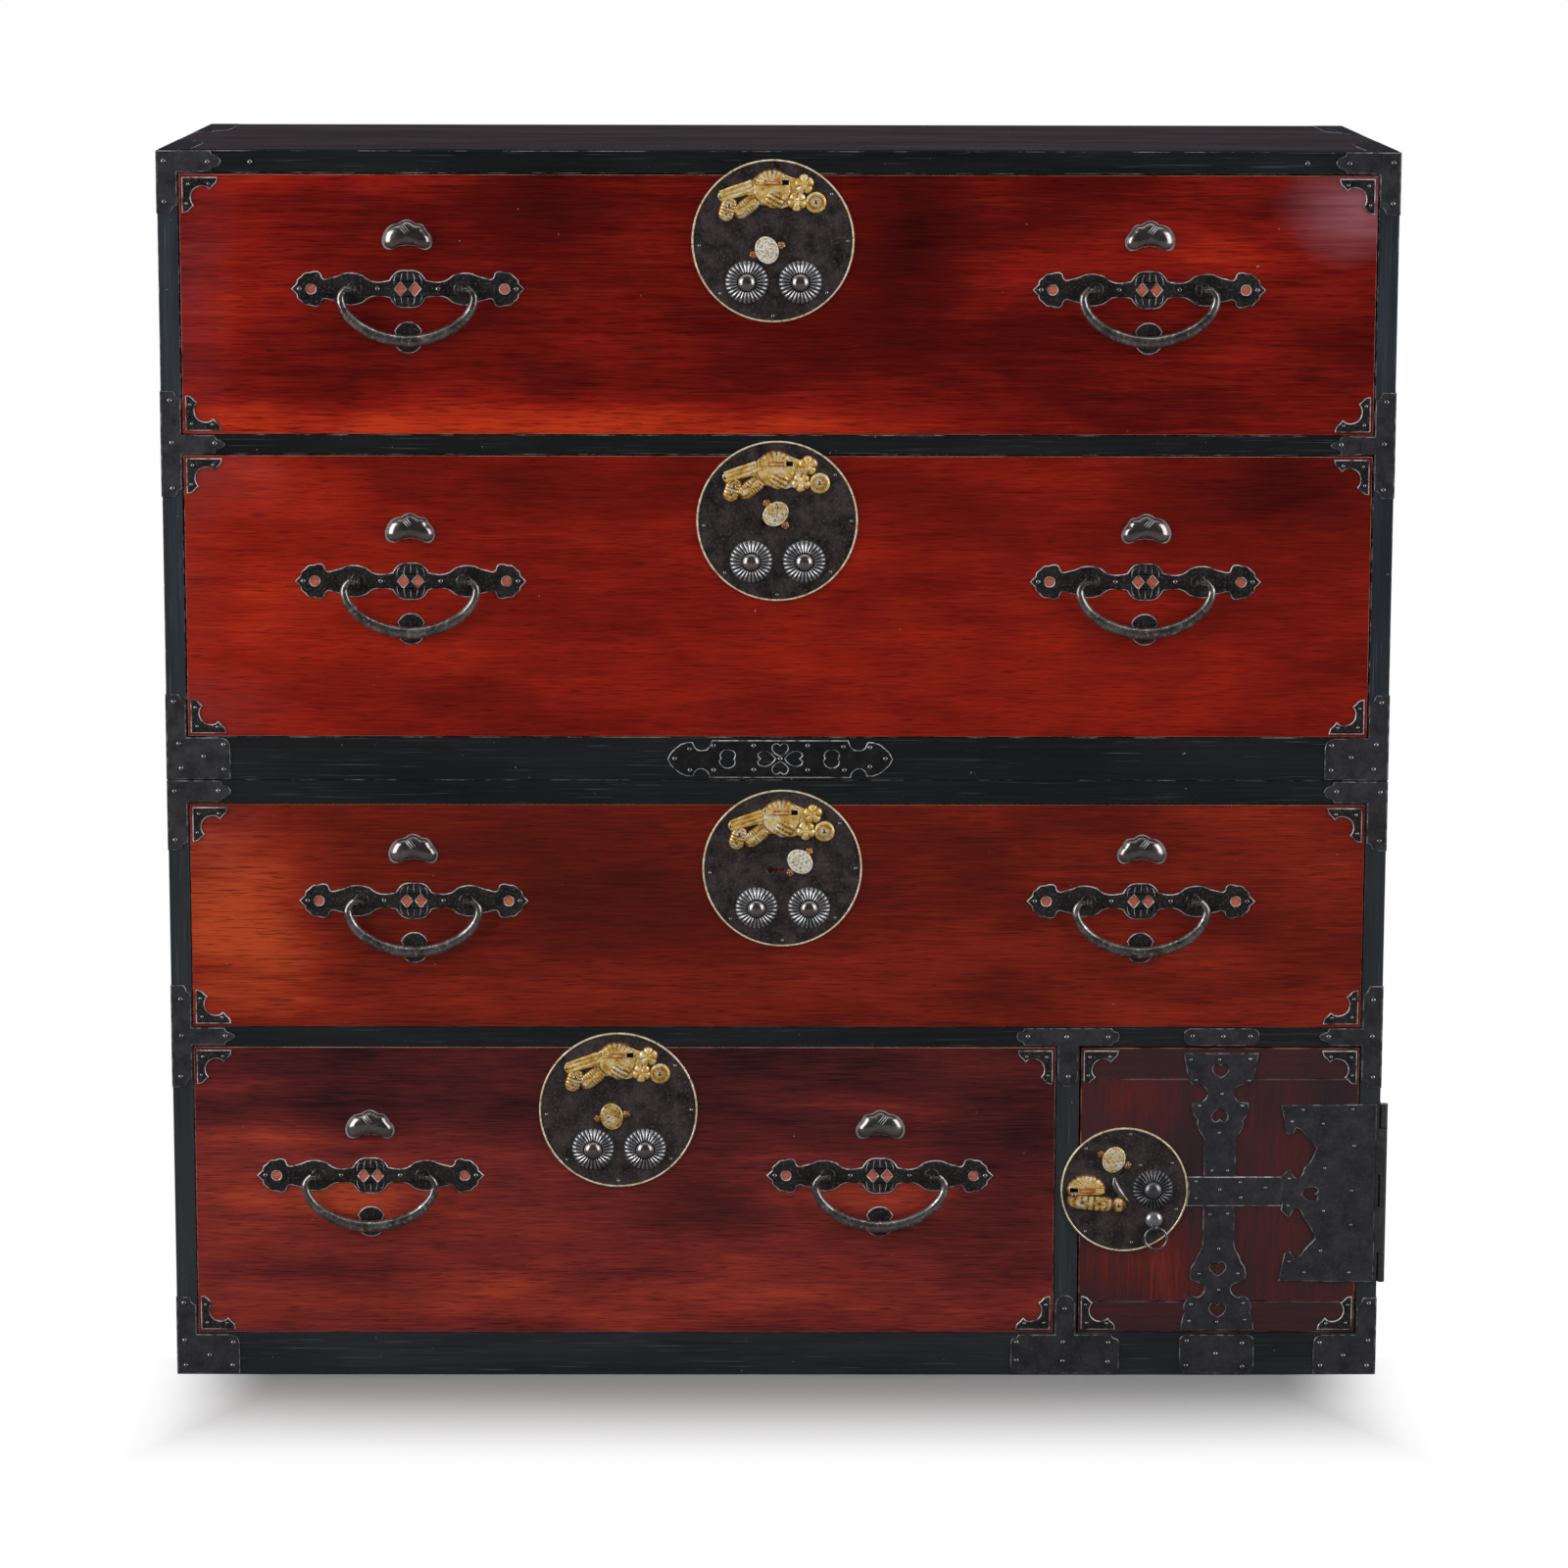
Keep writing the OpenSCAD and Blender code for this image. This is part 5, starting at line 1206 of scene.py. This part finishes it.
for case, top, stile, edge, cover_finish, slot in (
        ("lower_case", LOWER_H, low_stile_black, base_black, side_black, "case_wood"),
        ("upper_case", TOTAL_H, stile_black, top_edge_black, top_brown, "top_lacquer")):
    black_frame = dressed(f"{case}_frame", 0.8, f"{case}_black_frame", case, "frame_lacquer",
                          rail_black, stile, edge, frame_edge, sort=frame_sort)
    for face in black_frame.data.polygons:
        if face.normal.z > 0.5 and face.center.z / MM > TOTAL_H - 2:
            face.material_index = 2
    dressed(f"{case}_sides", 0.6, f"{case}_side_boards", case, "side_lacquer", upright_wood, side_black, side_black,
            sort=lambda face: int(abs(face.normal.x) > 0.9 and abs(face.center.x) / MM > HALF_W - 1))
    boards = dressed(f"{case}_boards", 0.8, f"{case}_floor_and_top_boards", case, slot, case_wood, cover_finish,
                     cover_finish, sort=lambda face: int(face.center.z / MM > top - 13))
    back_low, back_high = corners(f"{case}_back")
    width = (back_high.x - back_low.x) / 4
    planks = [bar((back_low.x + k * width + 0.02, back_low.y, back_low.z),
                  (back_low.x + (k + 1) * width - 0.02, back_high.y, back_high.z), 0.7, back_wood)
              for k in range(4)]
    finish(planks, f"{case}_back_planks", case, "case_wood", f"{case}_back")
# the straps on the top are let into it
with edited(boards, "VERT", lambda vertex: vertex.co.z / MM > TOTAL_H - 0.05):
    bpy.ops.transform.translate(value=(0, 0, -TOP_STRAP_T * MM))
dressed("lower_case_divider", 0.6, "lower_case_upright_divider", "lower_case", "case_wood", upright_wood, upright_wood)


# Straps on the frame

def corner_strap(z0, z1, arm_z0, arm_z1):
    """Outline at the frame's left edge: a leg on the stile and an arm along the rail, with bracket-shaped ends."""
    arm, leg = 55, 17
    loop = [(0, z0)]
    if z0 < arm_z0 - 2:
        loop += [(11, z0), (12.5, z0 + 2.5, 1), (13.5, z0 + 5, 1), (leg, z0 + 7), (leg, arm_z0)]
    if arm_z1 - arm_z0 > 24:
        loop += [(arm, arm_z0), (arm, arm_z1 - 8), (arm - 2.4, arm_z1 - 2.4, 1), (arm - 8, arm_z1)]
    else:
        loop += [(arm - 9, arm_z0), (arm - 7.5, arm_z0 + 3), (arm - 2.5, arm_z0 + 5), (arm, (arm_z0 + arm_z1) / 2, 1),
                 (arm - 2.5, arm_z1 - 5), (arm - 7.5, arm_z1 - 3), (arm - 9, arm_z1)]
    if z1 > arm_z1 + 2:
        loop += [(leg, arm_z1), (leg, z1 - 7), (13.5, z1 - 5, 1), (12.5, z1 - 2.5, 1), (11, z1)]
    return moved(loop + [(0, z1)], -HALF_W)


def nailed(loop, nails):
    """A strap on the frame and its nails."""
    sheet = cut_sheet([loop], STRAP_T, *STRAP, chamfer=0.4)
    return [copied(sheet, y=FRAME_Y)] + [copied(nail, x, z, FRAME_Y - STRAP_T) for x, z in nails]


def wrapped_corner(z0, z1, arm_z0, arm_z1, *nails):
    """Straps of one height at both edges of the frame, with the legs that wrap on to the sides."""
    left = nailed(corner_strap(z0, z1, arm_z0, arm_z1), nails)
    left.append(bar((-HALF_W - SIDE_T, FRAME_Y - STRAP_T, z0), (-HALF_W, FRAME_Y + WRAP, z1), 0.3, *STRAP))
    left += [copied(nail, 0.85 - HALF_W - SIDE_T, z, FRAME_Y + back, swing=-90)
             for z in (z0 + 9, (z0 + z1) / 2, z1 - 9) for back in (7, WRAP - 9)]
    return left + [copied(part, mirror=True) for part in left]


def tee(rail_z0, rail_z1, end_z, half, *nails):
    """Strap on a rail over or under the divider, with a round-ended leg along the divider."""
    leg = 8.8
    up = 1 if end_z > rail_z1 else -1
    near, far = (rail_z1, rail_z0) if up > 0 else (rail_z0, rail_z1)
    side = [(half, near - up * 8), (half - 1, near - up * 4.5, 1), (half - 5, near - up * 3), (half - 7, near),
            (leg, near), (leg, end_z - up * 8), (leg - 2.6, end_z - up * 2.6, 1)]
    if rail_z1 - rail_z0 > 24:
        side = [(half, far)] + side
    else:
        side = [(half - 7, far), (half - 5, far + up * 2.6), (half - 1, far + up * 4, 1), (half, far + up * 7)] + side
    return nailed(moved(side + [(0, end_z, 1)] + flipped(side, -1, 1), DIVIDER_X), nails)


def patch(z0, z1, *nails):
    """Plain strap across a rail, its corners clipped."""
    side = [(29, z0), (33, z0 + 4), (33, z1 - 4), (31, z1 - 1.6, 1), (28, z1)]
    return nailed(moved(side + flipped(side, -1, 1), STRAP_X), nails)


low_mid = (LOW_MID_Z + 1, LOW_MID_Z + MID_RAIL - 1)
base = (1, BASE_RAIL - 2)
finish(
    wrapped_corner(0.5, BASE_RAIL + 32, *base, (-523.7, 65.1), (-523.7, 31), (-522.9, 8), (-501.8, 17.3),
                   (-480.8, 29), (-481.6, 8))
    + wrapped_corner(LOW_MID_Z - 37, LOW_MID_Z + MID_RAIL + 37, *low_mid, (-521.7, 307.2), (-483.3, 307),
                     (-522.9, 270.5), (-522, 340))
    + wrapped_corner(LOWER_H - 62, LOWER_H - 0.5, LOWER_H - SEAM_RAIL + 1, LOWER_H - 0.5, (-524, 525),
                     (-486, 525.5), (-524, 482))
    + tee(*low_mid, LOW_MID_Z - 36, 45, (219.7, 307), (253.6, 306.6), (290.1, 306.4), (255.5, 271))
    + tee(*base, BASE_RAIL + 34, 48, (212.3, 29.5), (253.2, 29.5), (293.5, 29), (212.3, 12.8), (253.2, 12),
          (293, 11.5), (254.5, 60))
    + patch(*low_mid, (364, 307.5), (391, 307), (414.8, 307.2))
    + patch(*base, (363, 30.6), (412, 28.5), (388.6, 19), (362.6, 8), (412.5, 7)),
    "lower_case_iron_straps", "lower_case", "strap_iron", "lower_case_straps")

ORNAMENT_HALF = [
    (59, 16.3), (63.2, 8.8, 1), (67.5, 7.6, 1), (72.7, 8.8, 1), (76, 14.7), (80.3, 14.7), (86.4, 12.9), (91.5, 8.8),
    (95, 5.3), (98, -0.5), (95, -6), (91.5, -9.4), (86.4, -13.4), (80.3, -15.6), (75.3, -15.6), (72.7, -10.6, 1),
    (67.5, -9.2, 1), (62.3, -13.2, 1), (61.5, -16.8)]
GOURD = [(0, 7.6, 1), (5.8, 5.2, 1), (6, 1.5, 1), (5, -0.5), (6.2, -3, 1), (3.5, -7, 1), (-2.5, -7.4, 1),
         (-6.6, -2, 1), (-5.2, -0.2), (-6, 3.5, 1), (-3, 7, 1)]
ORNAMENT_NAILS = [
    (-78.7, 8.5), (-91.5, 0), (-78.3, -10), (-57.8, 11.5), (-57.8, -10), (-23, 11.5), (-23, -9.7), (0, 0),
    (23.8, 11.5), (23.8, -10), (54.9, 10.6), (78, 10), (91.4, 0), (78, -7), (55.8, -10)]
ORNAMENT_X, ORNAMENT_Z = 2.0, LOWER_H + BASE_RAIL / 2
pierced = cut_sheet([both_sides(ORNAMENT_HALF), heart_hole(0, 8, 13.2, 10.6), heart_hole(0, -8.1, 13.2, 10.6, 180),
                     heart_hole(-11.8, 0, 12.4, 15, 90), heart_hole(11.8, 0, 12.4, 15, -90),
                     moved(GOURD, -45.6), moved(GOURD, 44.7)], STRAP_T, rail_iron, bright_edge, steps=5)
# straps on the edges of the top: one from each front corner and one at each back corner
TOP_STRAP = [(0, 0), (27, 0), (27, 101.4, 1), (24, 111.8, 1), (18, 117), (15, 127.4, 1), (17, 135.2, 1),
             (13, 145.6), (0, 145.6)]
BACK_Y = corners("upper_case_boards")[1].y
top_strap = cut_sheet([moved(TOP_STRAP, -HALF_W)], TOP_STRAP_T, top_iron, top_iron_edge, chamfer=0.3)
top_strap.data.transform(Matrix.Rotation(math.radians(-90), 4, "X"))
straps = [copied(top_strap, 0, TOTAL_H - TOP_STRAP_T, y, mirror=mirror, half_turn=half_turn)
          for y, mirror, half_turn in ((FRAME_Y + 17, False, False), (FRAME_Y + 17, True, False),
                                       (BACK_Y, True, True), (BACK_Y, False, True))]
straps += [copied(nail, ORNAMENT_X + x, ORNAMENT_Z + z, FRAME_Y - STRAP_T) for x, z in ORNAMENT_NAILS]
straps += [copied(nail, x, 1070, FRAME_Y) for x in (-450.5, 450.5)]
finish(
    wrapped_corner(LOWER_H + 0.5, LOWER_H + BASE_RAIL + 37, LOWER_H + 1, LOWER_H + BASE_RAIL - 1, (-523.5, 604),
                   (-519.6, 567), (-480.7, 566.3), (-498, 555.7), (-517.7, 545.3), (-480.7, 544.4))
    + wrapped_corner(UP_MID_Z - 37, UP_MID_Z + MID_RAIL + 37, UP_MID_Z + 1, UP_MID_Z + MID_RAIL - 1, (-522.3, 866),
                     (-521, 829.5), (-484, 829), (-521, 790))
    + wrapped_corner(TOTAL_H - 54, TOTAL_H - 0.5, TOTAL_H - TOP_RAIL + 1, TOTAL_H - 0.5, (-524, 1070.8),
                     (-486.4, 1070), (-524, 1036))
    + [copied(pierced, ORNAMENT_X, ORNAMENT_Z, FRAME_Y)] + straps,
    "upper_case_iron_straps", "upper_case", "strap_iron", "upper_case_straps")

# patterns that were only copied from, and blocks that were only cut with, go away
for pattern in [thing for thing in bpy.data.objects if thing.type == "MESH" and thing not in kept]:
    mesh = pattern.data
    bpy.data.objects.remove(pattern)
    bpy.data.meshes.remove(mesh)


# Floor, light and camera

bpy.ops.mesh.primitive_plane_add(size=1, location=(0, 0.9, -0.0005))
floor = bpy.context.object
floor.scale = (14, 12, 1)
settle(floor)
floor.name = floor.data.name = "studio_floor"
# white paper that shows nothing to the camera but the chest's own shadow in front of it, and a painted shadow
# that darkens it close to the chest's front
matt, tree, place = blank("matt_paper_studio_floor", Roughness=1.0, Specular_IOR_Level=0.0,
                          Emission_Color=(1, 1, 1, 1))
ahead = node(tree, "SeparateXYZ", {0: place}, out=1)
aside = maths(tree, "ABSOLUTE", node(tree, "SeparateXYZ", {0: place}))
away = span(tree, aside, 0.44, 0.56, interpolation_type="SMOOTHSTEP")
for near, far in ((-0.25, -0.47), (-0.21, -0.15)):
    away = maths(tree, "MAXIMUM", away, span(tree, ahead, near, far, interpolation_type="SMOOTHSTEP"))
to_camera = node(tree, "LightPath", out="Is Camera Ray")
seen = maths(tree, "MULTIPLY", to_camera, away)
# painted shadow: to the camera the paper darkens from #f4f4f4 to #dadada within 8 cm of the chest's front
painted_contact_shadow = span(tree, ahead, -0.3, -0.222, interpolation_type="SMOOTHSTEP")
paper = mixed(tree, to_camera, "#8e8e8e", mixed(tree, painted_contact_shadow, "#f4f4f4", "#dadada"))
connect(tree, mixed(tree, seen, paper, "#000000"))
tree.links.new(seen, tree.nodes["Principled BSDF"].inputs["Emission Strength"])
coat(floor, matt)

scene = bpy.context.scene
scene.world = bpy.data.worlds.new("studio")
scene.world.use_nodes = True
tree = scene.world.node_tree
# a dim studio in front of the chest and the white backdrop behind it, as metal and lacquer see them
depth = node(tree, "SeparateXYZ", {0: node(tree, "TexCoord", out="Generated")}, out=1)
level = blended(tree, node(tree, "LightPath", out="Is Glossy Ray"), 0.5, span(tree, depth, -0.6, 0.4, 0.03))
for_eye = maths(tree, "MAXIMUM", node(tree, "LightPath", out="Is Camera Ray"),
                node(tree, "LightPath", out="Is Transmission Ray"))
background = tree.nodes["Background"]
background.inputs["Color"].default_value = (1, 1, 1, 1)
tree.links.new(blended(tree, for_eye, level, 1.0), background.inputs["Strength"])


def softbox(name, place, target, width, height, power):
    """Soft rectangular lamp that looks at a point."""
    lamp = bpy.data.lights.new(name, "AREA")
    lamp.shape = "RECTANGLE"
    lamp.size, lamp.size_y, lamp.energy = width, height, power
    holder = linked(name, lamp)
    holder.location = place
    holder.rotation_euler = (Vector(target) - Vector(place)).to_track_quat("-Z", "Y").to_euler()
    return holder


# flags keep the side lamps off the floor, so that the shadow under the chest stays
flagged = bpy.data.collections.new("kept_off_side_lamps")
flagged.objects.link(floor)
for name, x, power in (("left_softbox", -2.7, 58), ("right_softbox", 2.7, 44)):
    lamp = softbox(name, (x, -1.35, 1.25), (0, -0.1, 0.6), 1.7, 2.2, power)
    lamp.light_linking.receiver_collection = flagged
flagged.collection_objects[0].light_linking.link_state = "EXCLUDE"
softbox("overhead_softbox", (0, 0.5, 3.0), (0, 0.1, 0.5), 3.0, 2.0, 38)

lens = bpy.data.cameras.new("camera")
lens.sensor_width = 36.0
lens.lens = 112.87
lens.shift_y = -0.08
lens.clip_end = 50
camera = linked("camera", lens)
camera.location = (-0.0191, -4.4076, 1.32)
camera.rotation_euler = [math.radians(angle) for angle in (90 - 9.165, -0.118, -0.312)]
scene.camera = camera
scene.view_settings.view_transform = "Standard"
